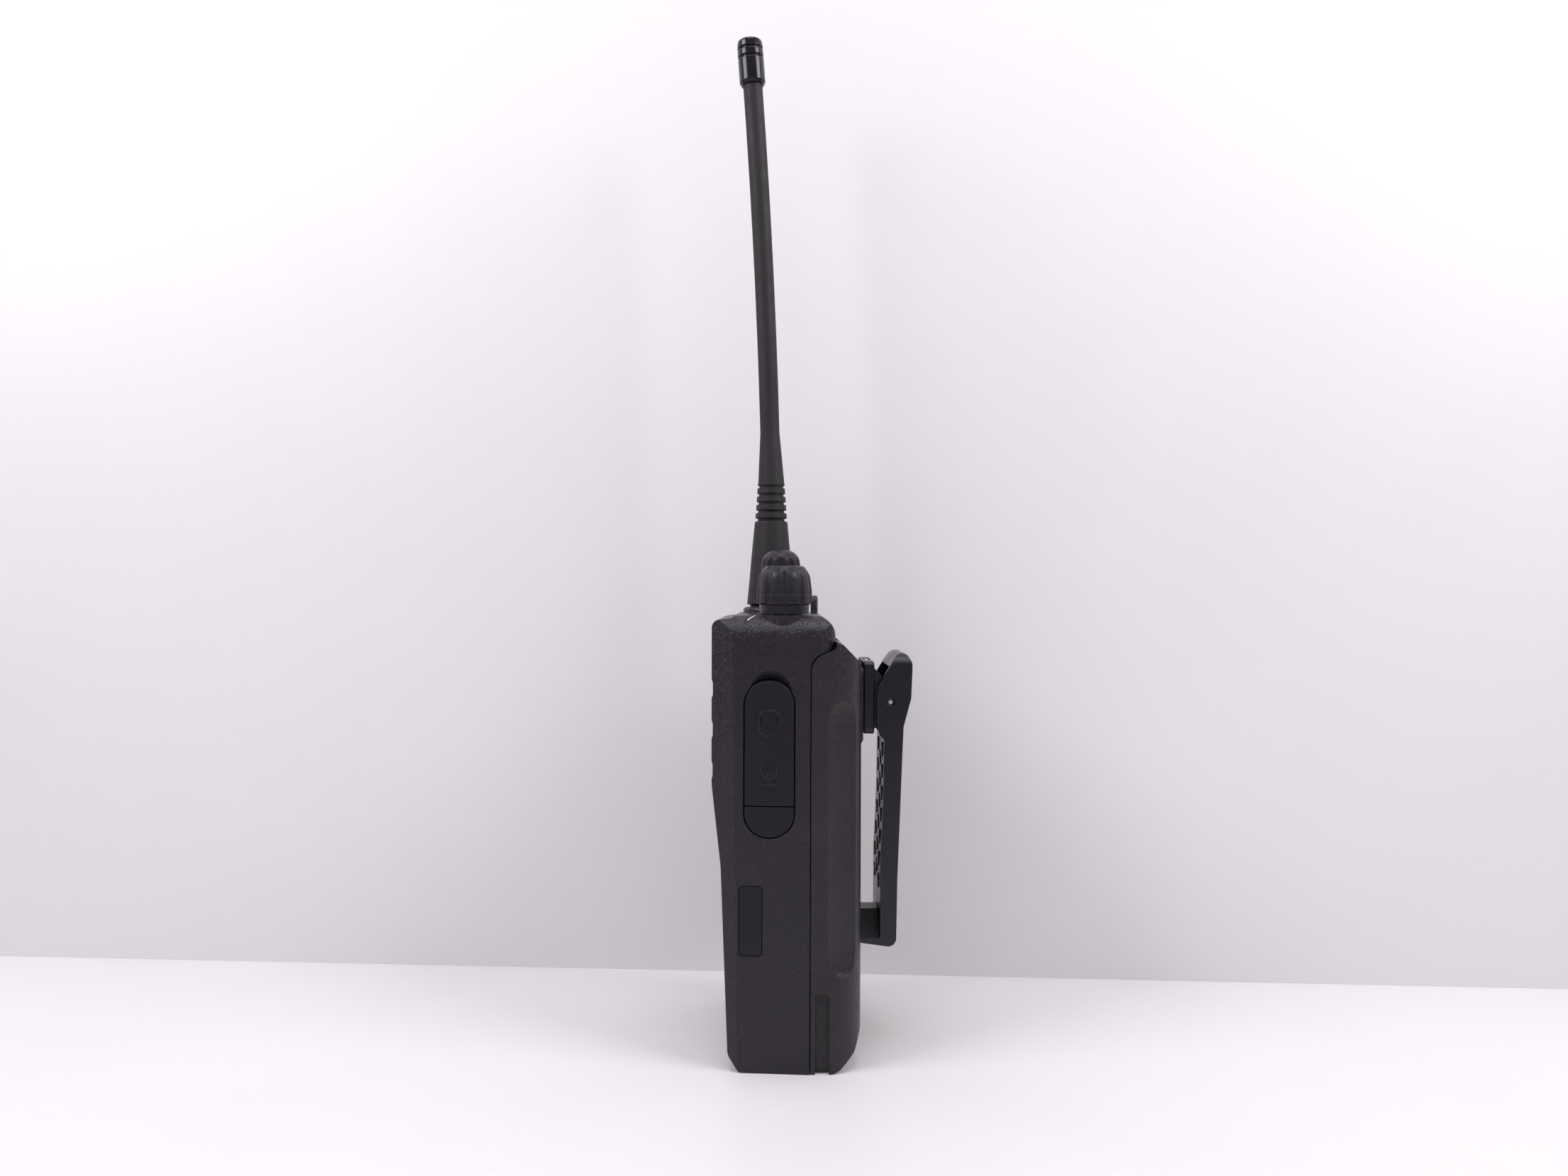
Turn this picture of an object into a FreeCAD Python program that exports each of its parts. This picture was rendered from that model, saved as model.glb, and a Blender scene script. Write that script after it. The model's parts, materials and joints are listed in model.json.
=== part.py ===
# Handheld two-way radio, parametric macro for FreeCAD 1.1.
# Axes: +Z up along the body, +Y towards the battery, +X to the right as seen from the front.
# Origin: on the base plane, in the middle of the housing's width, below the control shafts.
import FreeCAD
import Part
import Sketcher
import math
import os

doc = FreeCAD.newDocument("HandheldRadio")
sheet = doc.addObject("Spreadsheet::Sheet", "Dims")

DIMENSIONS = [
    ("half_width", 30.7),
    ("body_height", 127.7),
    ("front_upper", 20.6),
    ("front_lower", 17.75),
    ("seam_back", 7.35),
    ("side_slope", 0.069927),
    ("side_tilt_deg", 4.0),
    ("side_edge_top", 14.6),
    ("side_edge_bottom", 12.8),
    ("chamfer_front", 24.4),
    ("block_back", 14.4),
    ("block_under", 118.6),
    ("block_corner", 115.9),
    ("block_sweep", 5.0),
    ("top_side_radius", 7.0),
    ("cavity_half", 27.1),
    ("cavity_front_upper", 18.6),
    ("cavity_front_lower", 15.7),
    ("cavity_top", 125.2),
    ("louvre_pitch", 11.5),
    ("louvre_low", 83.8),
    ("louvre_depth", 0.4),
    ("volume_x", 20.5),
    ("volume_radius", 7.85),
    ("volume_base_radius", 7.0),
    ("volume_top", 141.7),
    ("volume_flutes", 10),
    ("channel_x", 1.0),
    ("channel_y", -1.1),
    ("channel_radius", 6.5),
    ("channel_top", 146.9),
    ("channel_flutes", 12),
    ("shaft_radius", 3.0),
    ("bushing_radius", 3.9),
    ("knob_clearance", 0.3),
    ("antenna_x", -19.5),
    ("antenna_y", -4.35),
    ("collar_radius", 8.8),
    ("collar_top", 129.3),
    ("antenna_seat", 129.9),
    ("antenna_base_radius", 7.65),
    ("antenna_neck_radius", 4.3),
    ("whip_radius", 3.1),
    ("lean_start", 168.75),
    ("lean_deg", 1.72),
    ("cone_length", 16.3),
    ("bend_radius", 2450.0),
    ("whip_length", 113.2),
    ("cap_radius", 4.15),
    ("cap_length", 14.4),
    ("socket_bore", 3.3),
    ("stud_radius", 3.15),
    ("cover_half_width", 7.0),
    ("cover_low", 65.7),
    ("cover_high", 109.5),
    ("cover_crease", 74.4),
    ("cover_thick", 1.5),
    ("cover_face_x", 29.9),
    ("cover_centre_y", -4.1),
    ("jack_large_z", 97.0),
    ("jack_small_z", 84.5),
    ("jack_large_radius", 1.8),
    ("jack_small_radius", 1.3),
    ("plug_length", 19.5),
    ("plug_width", 6.5),
    ("plug_middle_y", -9.2),
    ("plug_low", 32.6),
    ("ptt_low", 69.0),
    ("ptt_high", 97.0),
    ("eye_x", -9.0),
    ("eye_z", 130.0),
    ("eye_bore", 1.6),
    ("eye_back", 10.3),
    ("eye_thick", 2.1),
    ("battery_front", 7.6),
    ("battery_half", 30.5),
    ("battery_back", 22.1),
    ("battery_corner", 10.0),
    ("battery_top", 120.4),
    ("cell_half_width", 22.8),
    ("cell_height", 46.0),
    ("groove_top", 22.4),
    ("groove_front", 8.9),
    ("groove_back", 12.8),
    ("bracket_low", 92.6),
    ("bracket_high", 113.9),
    ("bracket_half", 13.0),
    ("bracket_front", 23.3),
    ("bracket_back", 26.5),
    ("rail_half", 8.0),
    ("pin_y", 31.2),
    ("pin_z", 102.1),
    ("pin_radius", 0.9),
    ("clip_half", 13.75),
    ("speaker_z", 95.3),
    ("speaker_radius", 16.5),
]


class Size:
    """A length that keeps both its spreadsheet expression and its present value."""

    def __init__(self, text, value):
        self.text = text
        self.value = value

    def join(self, sign, other, value):
        return Size("(%s %s %s)" % (self.text, sign, other.text), value)

    def __add__(self, other):
        other = size(other)
        return self.join("+", other, self.value + other.value)

    def __sub__(self, other):
        other = size(other)
        return self.join("-", other, self.value - other.value)

    def __rsub__(self, other):
        return size(other) - self

    def __mul__(self, other):
        other = size(other)
        return self.join("*", other, self.value * other.value)

    def __truediv__(self, other):
        other = size(other)
        return self.join("/", other, self.value / other.value)

    def __neg__(self):
        return self * -1

    __radd__ = __add__
    __rmul__ = __mul__


def size(number):
    if isinstance(number, Size):
        return number
    return Size("%.6g" % number, float(number))


class Dimensions:
    """Named driving dimensions, each one a cell of the spreadsheet."""


def fill_sheet():
    for row, (name, value) in enumerate(DIMENSIONS, start=1):
        sheet.set("A%d" % row, name)
        sheet.set("B%d" % row, str(value))
        sheet.setAlias("B%d" % row, name)
    doc.recompute()
    for name, value in DIMENSIONS:
        setattr(Dimensions, name, Size("Dims." + name, float(getattr(sheet, name))))


fill_sheet()
D = Dimensions
FLAT = FreeCAD.Vector(0, 0, 1)


# ---------------------------------------------------------------- sketch helpers

def bind(thing, path, length):
    if "Dims." in length.text:
        thing.setExpression(path, length.text)


def flat(u, v):
    return FreeCAD.Vector(size(u).value, size(v).value, 0)


def pin_point(sketch, geometry, end, u, v):
    """Hold one sketch point at u, v from the sketch origin."""
    for kind, length in (("DistanceX", size(u)), ("DistanceY", size(v))):
        index = sketch.addConstraint(Sketcher.Constraint(kind, -1, 1, geometry, end, length.value))
        bind(sketch, "Constraints[%d]" % index, length)


def corner_arc(before, corner, after, radius):
    """Start, end and centre of the arc that rounds a corner, and whether it turns left."""
    back = (before - corner).normalize()
    ahead = (after - corner).normalize()
    half = back.getAngle(ahead) / 2
    reach = radius / math.tan(half)
    centre = corner + (back + ahead).normalize() * (radius / math.sin(half))
    left = back.y * ahead.x - back.x * ahead.y > 0
    return corner + back * reach, corner + ahead * reach, centre, left


def outline(sketch, corners):
    """Closed outline; a corner is (u, v) when sharp or (u, v, radius) when rounded."""
    count = len(corners)
    points = [flat(c[0], c[1]) for c in corners]
    turns = []
    for i, corner in enumerate(corners):
        if len(corner) == 2:
            turns.append((points[i], points[i], None, True))
        else:
            radius = size(corner[2]).value
            turns.append(corner_arc(points[i - 1], points[i], points[(i + 1) % count], radius))
    lines = []
    for i in range(count):
        edge = Part.LineSegment(turns[i][1], turns[(i + 1) % count][0])
        lines.append(sketch.addGeometry(edge, False))
    for i, corner in enumerate(corners):
        if len(corner) == 2:
            sketch.addConstraint(Sketcher.Constraint("Coincident", lines[i - 1], 2, lines[i], 1))
            pin_point(sketch, lines[i], 1, corner[0], corner[1])
        else:
            round_corner(sketch, corner, points[i], turns[i], lines[i - 1], lines[i])


def round_corner(sketch, corner, point, turn, before, after):
    start, end, centre, left = turn
    low = math.atan2(start.y - centre.y, start.x - centre.x)
    high = math.atan2(end.y - centre.y, end.x - centre.x)
    if not left:
        low, high = high, low
    circle = Part.Circle(centre, FLAT, size(corner[2]).value)
    arc = sketch.addGeometry(Part.ArcOfCircle(circle, low, high), False)
    first = 1 if left else 2
    sketch.addConstraint(Sketcher.Constraint("Tangent", before, 2, arc, first))
    sketch.addConstraint(Sketcher.Constraint("Tangent", arc, 3 - first, after, 1))
    index = sketch.addConstraint(Sketcher.Constraint("Radius", arc, size(corner[2]).value))
    bind(sketch, "Constraints[%d]" % index, size(corner[2]))
    mark = sketch.addGeometry(Part.Point(point), True)
    pin_point(sketch, mark, 1, corner[0], corner[1])
    sketch.addConstraint(Sketcher.Constraint("PointOnObject", mark, 1, before))
    sketch.addConstraint(Sketcher.Constraint("PointOnObject", mark, 1, after))


def circle_outline(sketch, u, v, radius):
    index = sketch.addGeometry(Part.Circle(flat(u, v), FLAT, size(radius).value), False)
    pin_point(sketch, index, 3, u, v)
    mark = sketch.addConstraint(Sketcher.Constraint("Radius", index, size(radius).value))
    bind(sketch, "Constraints[%d]" % mark, size(radius))


def rectangle(low_u, high_u, low_v, high_v, radius=None):
    corners = [(low_u, low_v), (high_u, low_v), (high_u, high_v), (low_u, high_v)]
    if radius is None:
        return corners
    return [corner + (radius,) for corner in corners]


def new_body(label, at=(0, 0, 0), turn_axis=(0, 0, 1), turn=0):
    body = doc.addObject("PartDesign::Body", label)
    body.Label = label
    place(body, at, turn_axis, turn)
    return body


def place(thing, at, turn_axis=(0, 0, 1), turn=0):
    thing.Placement = FreeCAD.Placement(
        FreeCAD.Vector(*[size(c).value for c in at]),
        FreeCAD.Rotation(FreeCAD.Vector(*turn_axis), size(turn).value))
    for letter, length in zip("xyz", at):
        bind(thing, "Placement.Base." + letter, size(length))


def new_sketch(body, plane, level=0):
    """Sketch on XY, XZ or YZ at a level along +Z, +Y or +X."""
    role = plane + "_Plane"
    origin = [feature for feature in body.Origin.OriginFeatures if feature.Role == role][0]
    sketch = body.newObject("Sketcher::SketchObject", "outline")
    sketch.AttachmentSupport = [(origin, "")]
    sketch.MapMode = "FlatFace"
    offset = -size(level) if plane == "XZ" else size(level)
    sketch.AttachmentOffset = FreeCAD.Placement(
        FreeCAD.Vector(0, 0, offset.value), FreeCAD.Rotation())
    bind(sketch, "AttachmentOffset.Base.z", offset)
    return sketch


def draw(sketch, shape):
    """A shape is a list of corners, or (u, v, radius) for a circle."""
    if isinstance(shape, tuple):
        circle_outline(sketch, *shape)
    else:
        outline(sketch, shape)


def pad(body, plane, shape, low, high):
    """Add material between two levels along the plane's own positive axis."""
    start = high if plane == "XZ" else low
    sketch = new_sketch(body, plane, start)
    draw(sketch, shape)
    feature = body.newObject("PartDesign::Pad", "pad")
    feature.Profile = sketch
    length = size(high) - size(low)
    feature.Length = length.value
    bind(feature, "Length", length)
    doc.recompute()
    return feature


def pocket(body, plane, shape, low, high):
    """Take material away between two levels along the plane's own positive axis."""
    before = body.Shape.Volume
    start = low if plane == "XZ" else high
    sketch = new_sketch(body, plane, start)
    draw(sketch, shape)
    feature = body.newObject("PartDesign::Pocket", "pocket")
    feature.Profile = sketch
    length = size(high) - size(low)
    feature.Length = length.value
    bind(feature, "Length", length)
    doc.recompute()
    if body.Shape.Volume >= before - 1e-6:
        raise RuntimeError("a pocket in %s removed nothing" % body.Label)
    return feature


def turned(body, profile, plane="XZ"):
    """Revolve a half profile, given as (radius, height) corners, about the vertical axis."""
    sketch = new_sketch(body, plane)
    draw(sketch, profile)
    feature = body.newObject("PartDesign::Revolution", "turned")
    feature.Profile = sketch
    feature.ReferenceAxis = (sketch, ["V_Axis"])
    feature.Angle = 360
    doc.recompute()
    return feature


def repeat_round(body, feature, count):
    """Repeat a pocket round the body's vertical axis."""
    pattern = body.newObject("PartDesign::PolarPattern", "ring")
    pattern.Originals = [feature]
    pattern.Axis = (feature.Profile[0], ["N_Axis"])
    pattern.Angle = 360
    pattern.Occurrences = int(size(count).value)
    bind(pattern, "Occurrences", size(count))
    body.Tip = pattern
    doc.recompute()
    return pattern


def soften(body, radius, wanted):
    """Fillet the edges of the body's present shape that the test accepts."""
    base = body.Tip
    names = ["Edge%d" % (i + 1) for i, edge in enumerate(base.Shape.Edges) if wanted(edge)]
    feature = body.newObject("PartDesign::Fillet", "soften")
    feature.Base = (base, names)
    feature.Radius = radius
    body.Tip = feature
    doc.recompute()
    return feature


# ---------------------------------------------------------------- solid helpers

def box(label, low, high):
    """Part box between two opposite corners."""
    thing = doc.addObject("Part::Box", label)
    thing.Label = label
    place(thing, low)
    for name, start, end in zip(("Length", "Width", "Height"), low, high):
        length = size(end) - size(start)
        setattr(thing, name, length.value)
        bind(thing, name, length)
    return thing


AXIS_TURN = {"z": ((0, 0, 1), 0), "x": ((0, 1, 0), 90), "y": ((1, 0, 0), -90)}


def cylinder(label, at, radius, length, axis="z"):
    """Part cylinder from a point along +X, +Y or +Z."""
    thing = doc.addObject("Part::Cylinder", label)
    thing.Label = label
    place(thing, at, *AXIS_TURN[axis])
    thing.Radius = size(radius).value
    bind(thing, "Radius", size(radius))
    thing.Height = size(length).value
    bind(thing, "Height", size(length))
    return thing


def torus(label, at, ring, wire):
    thing = doc.addObject("Part::Torus", label)
    thing.Label = label
    place(thing, at)
    thing.Radius1 = size(ring).value
    bind(thing, "Radius1", size(ring))
    thing.Radius2 = size(wire).value
    bind(thing, "Radius2", size(wire))
    return thing


def sphere(label, at, radius):
    thing = doc.addObject("Part::Sphere", label)
    thing.Label = label
    place(thing, at)
    thing.Radius = size(radius).value
    bind(thing, "Radius", size(radius))
    return thing


def cut(label, base, tool):
    before = volume_of(base)
    thing = doc.addObject("Part::Cut", label)
    thing.Label = label
    thing.Base = base
    thing.Tool = tool
    doc.recompute()
    if thing.Shape.Volume >= before - 1e-6:
        raise RuntimeError("a cut in %s removed nothing" % label)
    return thing


def volume_of(thing):
    doc.recompute()
    return thing.Shape.Volume


def common(label, shapes):
    thing = doc.addObject("Part::MultiCommon", label)
    thing.Label = label
    thing.Shapes = shapes
    doc.recompute()
    return thing


def fuse(label, shapes):
    thing = doc.addObject("Part::MultiFuse", label)
    thing.Label = label
    thing.Shapes = shapes
    doc.recompute()
    return thing


def cut_all(label, base, tools):
    """Cut several tools away at once."""
    tool = tools[0] if len(tools) == 1 else fuse(label + "_tools", tools)
    return cut(label, base, tool)


# ---------------------------------------------------------------- front housing

def housing_plan(body, level, edge_y, front_x):
    """Plan outline of the housing at one height, returned as a sketch for a loft."""
    sketch = new_sketch(body, "XY", level)
    edge_x = D.half_width - (D.seam_back - edge_y) * D.side_slope
    back_x = D.half_width + 0.02
    outline(sketch, [
        (-back_x, D.block_back + 0.1, 5.0),
        (-D.half_width, D.seam_back),
        (-edge_x, edge_y),
        (-front_x, -D.front_upper - 0.2),
        (front_x, -D.front_upper - 0.2),
        (edge_x, edge_y),
        (D.half_width, D.seam_back),
        (back_x, D.block_back + 0.1, 5.0),
    ])
    return sketch


def housing_envelope():
    plan = new_body("housing_plan")
    low = housing_plan(plan, 0, -D.side_edge_bottom, D.chamfer_front + 0.6)
    high = housing_plan(plan, D.body_height + 0.2, -D.side_edge_top, D.chamfer_front)
    loft = plan.newObject("PartDesign::AdditiveLoft", "loft")
    loft.Profile = low
    loft.Sections = [high]
    loft.Ruled = True
    doc.recompute()
    side = new_body("housing_side")
    pad(side, "YZ", [
        (D.seam_back, 0),
        (-12.4, 0, 1.5),
        (-15.6, 4.4, 3.0),
        (-D.front_lower, 57.0, 25.0),
        (-20.5, 80.0, 30.0),
        (-D.front_upper, 126.2, 2.5),
        (-15.0, 126.85),
        (-14.2, 127.55, 0.5),
        (D.block_back, D.body_height, 6.0),
        (D.block_back, D.block_under),
        (D.seam_back, D.block_corner, D.block_sweep),
    ], -40, 40)
    return common("housing_envelope", [plan, side])


def shoulder_cutter(label, sign):
    """Takes the square edge off one long side of the top deck."""
    at = (sign * (D.half_width + 0.03), D.seam_back, D.body_height + 0.03)
    body = new_body(label, at, (0, 0, 1), -D.side_tilt_deg * sign)
    reach = D.top_side_radius
    corners = [
        (sign * 3, -reach - 0.4),
        (0, -reach - 0.4),
        (0, 0, reach),
        (-sign * (reach + 0.4), 0),
        (-sign * (reach + 0.4), 3),
        (sign * 3, 3),
    ]
    pad(body, "XZ", corners, -40, 20)
    return body


def housing_cavity():
    plan = new_body("cavity_plan")
    pad(plan, "XY", [
        (-D.cavity_half, 13.0, 3.0),
        (-D.cavity_half, -13.0),
        (-22.6, -D.cavity_front_upper),
        (22.6, -D.cavity_front_upper),
        (D.cavity_half, -13.0),
        (D.cavity_half, 13.0, 3.0),
    ], -1, 130)
    side = new_body("cavity_side")
    pad(side, "YZ", [
        (9.0, 2.6),
        (-9.6, 2.6),
        (-13.7, 7.6),
        (-D.cavity_front_lower, 57.0),
        (-D.cavity_front_upper, 81.0),
        (-D.cavity_front_upper, 122.4),
        (-16.4, D.cavity_top),
        (9.5, D.cavity_top),
        (12.2, 122.2),
        (12.2, 119.8),
        (9.0, 118.4),
    ], -35, 35)
    return common("housing_cavity", [plan, side])


def louvre_grooves():
    """Three broad shallow grooves across the front, with two sound slots in each."""
    grooves = []
    for step in range(3):
        middle = D.louvre_low + step * D.louvre_pitch
        groove = new_body("groove_%d" % step)
        front = -D.front_upper
        pad(groove, "YZ", [
            (front - 1.5, middle - 2.9),
            (front - 0.02, middle - 2.9),
            (front + D.louvre_depth, middle - 1.7, 0.8),
            (front + D.louvre_depth, middle + 1.7, 0.8),
            (front - 0.02, middle + 2.9),
            (front - 1.5, middle + 2.9),
        ], -26, 26)
        grooves.append(groove)
        for side in (-1, 1):
            low = middle + side * 1.2 - 0.55
            slot = box("sound_slot_%d_%d" % (step, side), (-16, -24, low), (16, -16, low + 1.1))
            grooves.append(slot)
    return grooves


def top_openings():
    """Bushing, socket and light openings in the top deck."""
    volume = cylinder("volume_opening", (D.volume_x, 0, 120), D.bushing_radius + 0.1, 12)
    channel = cylinder("channel_opening", (D.channel_x, D.channel_y, 120), D.bushing_radius + 0.1, 12)
    antenna = cylinder("antenna_opening", (D.antenna_x, D.antenna_y, 120), 5.55, 14)
    mark = mark_prism("mark_recess", 2.6, 0.5)
    light = cylinder("light_opening", (-13.0, -24, 119.4), 1.3, 8, "y")
    plate = box("nameplate_recess", (-9.0, -22, 115.9), (17.0, -20.15, 123.1))
    return [volume, channel, antenna, mark, light, plate]


def mark_prism(label, half_length, half_width):
    """Upright prism over the index line on the right-hand shoulder of the deck."""
    body = new_body(label, (26.0, -9.75, 0), (0, 0, 1), -37.8)
    shape = rectangle(-half_length, half_length, -half_width, half_width, half_width * 0.9)
    pad(body, "XY", shape, 125.5, 130)
    return body


def cover_shape(grow, low, high):
    """Obround corners in the side face's own frame, grown all round."""
    half = D.cover_half_width + grow
    radius = half - 0.3
    return [
        (-half, low - grow, radius),
        (half, low - grow, radius),
        (half, high + grow, radius),
        (-half, high + grow, radius),
    ]


def side_frame(label, centre_y=None):
    """Body lying in the sloping right-hand side face, local +X pointing out of it."""
    middle = D.cover_centre_y if centre_y is None else centre_y
    face_x = D.half_width - (D.seam_back - middle) * D.side_slope
    return new_body(label, (face_x, middle, 0), (0, 0, 1), -D.side_tilt_deg)


def side_openings():
    """Jack opening with its finger-nail crescent, plug seat, and left-hand switch opening."""
    jack = side_frame("jack_opening")
    pad(jack, "YZ", cover_shape(0.3, D.cover_low, D.cover_high), -6, 3)
    nail = sphere("nail_recess", (D.cover_face_x + 5.3, D.cover_centre_y, 106.5), 8.0)
    seat = side_frame("plug_seat", D.plug_middle_y)
    half = D.plug_width / 2 + 0.12
    low = D.plug_low - 0.12
    high = D.plug_low + D.plug_length + 0.12
    pad(seat, "YZ", rectangle(-half, half, low, high, 1.1), -1.3, 3)
    stud = cylinder("plug_stud_hole", (20, D.plug_middle_y, plug_middle()), 1.25, 12, "x")
    switch = new_body("switch_opening")
    pad(switch, "YZ", rectangle(-10.6, 2.6, 50.0, 116.0, 4.0), -40, -24)
    return [jack, nail, seat, stud, switch]


def front_openings():
    """Microphone port and the slots for the battery's two feet."""
    port = cylinder("microphone_port", (-16.0, -24, 66.0), 0.8, 12, "y")
    tools = [port]
    for side in (-1, 1):
        low_x = side * 14 - 4.3
        slot = box("foot_slot_%d" % side, (low_x, 4.6, 0.55), (low_x + 8.6, 9, 3.3))
        tools.append(slot)
    return tools


def strap_eye():
    body = new_body("strap_eye", (D.eye_x, D.eye_back, D.eye_z))
    pad(body, "XZ", [
        (-4.6, -4.0),
        (4.6, -4.0),
        (3.1, 3.1, 2.6),
        (-3.1, 3.1, 2.6),
    ], -D.eye_thick, 0)
    soften(body, 0.6, lambda e: e.BoundBox.YMin > -0.01 and e.BoundBox.ZMin > 0)
    return body


def front_housing():
    envelope = housing_envelope()
    cutters = [shoulder_cutter("shoulder_right", 1), shoulder_cutter("shoulder_left", -1)]
    rounded = cut_all("housing_rounded", envelope, cutters)
    volume = cylinder("volume_collar", (D.volume_x, 0, 119), 8.35, D.body_height - 119)
    channel = cylinder("channel_collar", (D.channel_x, D.channel_y, 119), 7.2, D.body_height + 0.15 - 119)
    collar = new_body("antenna_collar", (D.antenna_x, D.antenna_y, 0))
    turned(collar, [
        (0, 117.5),
        (D.collar_radius, 119.0),
        (D.collar_radius, D.collar_top, 1.0),
        (0, D.collar_top),
    ])
    guard = side_frame("jack_wall")
    pad(guard, "YZ", cover_shape(1.4, D.cover_low, D.cover_high), -3.6, -1.0)
    ledge = box("plug_wall", (25.2, -12.7, 30.4), (27.6, -5.0, 54.6))
    solid = fuse("housing_solid", [rounded, volume, channel, collar, strap_eye()])
    hollow = cut_all("housing_hollow", solid, [housing_cavity()])
    walled = fuse("housing_walled", [hollow, common("jack_wall_in", [guard, rounded]), ledge])
    eye = cylinder("eye_hole", (D.eye_x, 5, D.eye_z), D.eye_bore, 8, "y")
    tools = louvre_grooves() + top_openings() + side_openings() + front_openings() + [eye]
    return cut_all("front_housing", walled, tools)


# ---------------------------------------------------------------- right side: cover and plug

def dust_cover_parts():
    """Obround cover in two pieces that meet at the crease: a moving flap and a fixed tab."""
    half = D.cover_half_width
    end = half - 0.3
    flap = side_frame("dust_cover_flap")
    crease = D.cover_crease + 0.12
    top = D.cover_high
    corners = [(-half, crease, 0.6), (half, crease, 0.6), (half, top, end), (-half, top, end)]
    pad(flap, "YZ", corners, -D.cover_thick, 0)
    soften(flap, 0.35, lambda e: e.BoundBox.XMin > -0.01)
    headset_icon(flap)
    microphone_icon(flap)
    tab = side_frame("dust_cover_tab")
    crease = D.cover_crease - 0.12
    low = D.cover_low
    corners = [(-half, low, end), (half, low, end), (half, crease, 0.6), (-half, crease, 0.6)]
    pad(tab, "YZ", corners, -D.cover_thick, 0)
    soften(tab, 0.35, lambda e: e.BoundBox.XMin > -0.01)
    return [flap, tab]


def headset_icon(flap):
    """Raised head band and boom with a sunk ear cup at each end."""
    pad(flap, "YZ", [
        (-3.15, 97.2), (-2.8, 97.2), (-2.8, 101.05, 2.4), (2.8, 101.05, 2.4),
        (2.8, 98.2), (3.15, 98.2), (3.15, 101.4, 2.7), (-3.15, 101.4, 2.7),
    ], -0.1, 0.26)
    pad(flap, "YZ", [
        (-3.1, 97.5), (-3.1, 94.5, 2.2), (-0.3, 93.6), (-0.3, 93.9),
        (-2.8, 94.9, 1.9), (-2.8, 97.5),
    ], -0.1, 0.24)
    pad(flap, "YZ", (-0.1, 93.75, 0.62), -0.1, 0.28)
    pocket(flap, "YZ", rectangle(-2.75, -2.1, 97.2, 99.6, 0.3), -0.3, 1)
    pocket(flap, "YZ", rectangle(2.1, 2.75, 97.2, 99.6, 0.3), -0.3, 1)


def microphone_icon(flap):
    """Sunk capsule in a raised stand."""
    pocket(flap, "YZ", rectangle(-1.2, 1.1, 83.3, 88.4, 1.1), -0.3, 1)
    pad(flap, "YZ", [
        (-2.45, 85.9), (-2.45, 82.0, 2.3), (2.35, 82.0, 2.3), (2.35, 85.9),
        (2.0, 85.9), (2.0, 82.35, 1.95), (-2.1, 82.35, 1.95), (-2.1, 85.9),
    ], -0.1, 0.26)
    pad(flap, "YZ", rectangle(-0.25, 0.15, 80.6, 82.2), -0.1, 0.24)
    pad(flap, "YZ", rectangle(-2.5, 2.3, 80.0, 80.7), -0.1, 0.28)


def jack_block():
    """Moulded block behind the cover with the two accessory jack bores."""
    block = side_frame("jack_block")
    pad(block, "YZ", cover_shape(0.0, D.cover_low, D.cover_high), -9.0, -D.cover_thick - 0.25)
    tools = []
    for name, level, radius in (("large", D.jack_large_z, D.jack_large_radius),
                                ("small", D.jack_small_z, D.jack_small_radius)):
        bore = cylinder("jack_bore_" + name, (22.6, D.cover_centre_y, level), radius, 10, "x")
        tools.append(bore)
    return cut_all("accessory_jacks", block, tools)


def plug_middle():
    return D.plug_low + D.plug_length / 2


def side_plug():
    plug = side_frame("side_plug", D.plug_middle_y)
    half = D.plug_width / 2
    shape = rectangle(-half, half, D.plug_low, D.plug_low + D.plug_length, 1.0)
    pad(plug, "YZ", shape, -1.2, 0)
    soften(plug, 0.3, lambda e: e.BoundBox.XMin > -0.01)
    pad(plug, "YZ", (0.0, plug_middle(), 0.9), -2.6, -1.1)
    return plug


# ---------------------------------------------------------------- left side: switches

def switch_bezel():
    """Rubber-edged frame round the left-hand buttons."""
    bezel = new_body("switch_bezel")
    pad(bezel, "YZ", rectangle(-10.3, 2.3, 50.3, 115.7, 3.8), -29.9, -26.9)
    pocket(bezel, "YZ", rectangle(-8.6, 0.6, D.ptt_low, D.ptt_high, 2.0), -31, -25)
    for middle in (59.5, 106.5):
        shape = rectangle(-8.6, 0.6, middle - 5.5, middle + 5.5, 3.2)
        pocket(bezel, "YZ", shape, -31, -25)
    return bezel


def push_button(label, low, high, radius, proud, dots):
    """Side button with a bevelled face and small raised dots for a blind grip."""
    body = new_body(label)
    face = -29.9 - proud
    shape = rectangle(-8.3, 0.3, low, high, radius)
    pad(body, "YZ", shape, face, -27.6)
    soften(body, 0.5, lambda e: e.BoundBox.XMax < face + 0.01)
    for step in range(dots):
        level = (low.value + high.value) / 2 + (step - (dots - 1) / 2) * 4.0
        pad(body, "YZ", rectangle(-6.2, -1.8, level - 0.5, level + 0.5, 0.4), face - 0.3, face + 0.1)
    return body


def switch_parts():
    ptt = push_button("ptt_button", D.ptt_low + 0.3, D.ptt_high - 0.3, 1.8, 1.5, 5)
    upper = push_button("side_button_upper", size(101.3), size(111.7), 3.0, 0.9, 1)
    lower = push_button("side_button_lower", size(54.3), size(64.7), 3.0, 0.9, 1)
    strip = new_body("switch_strip")
    pad(strip, "YZ", rectangle(-9.6, 1.6, 51.5, 114.5, 1.0), -25.0, -24.4)
    for level in (59.5, 77.0, 89.0, 106.5):
        pad(strip, "YZ", (-4.0, level, 2.2), -25.9, -24.9)
    return [switch_bezel(), ptt, upper, lower, strip]


# ---------------------------------------------------------------- knobs and switches

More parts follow.
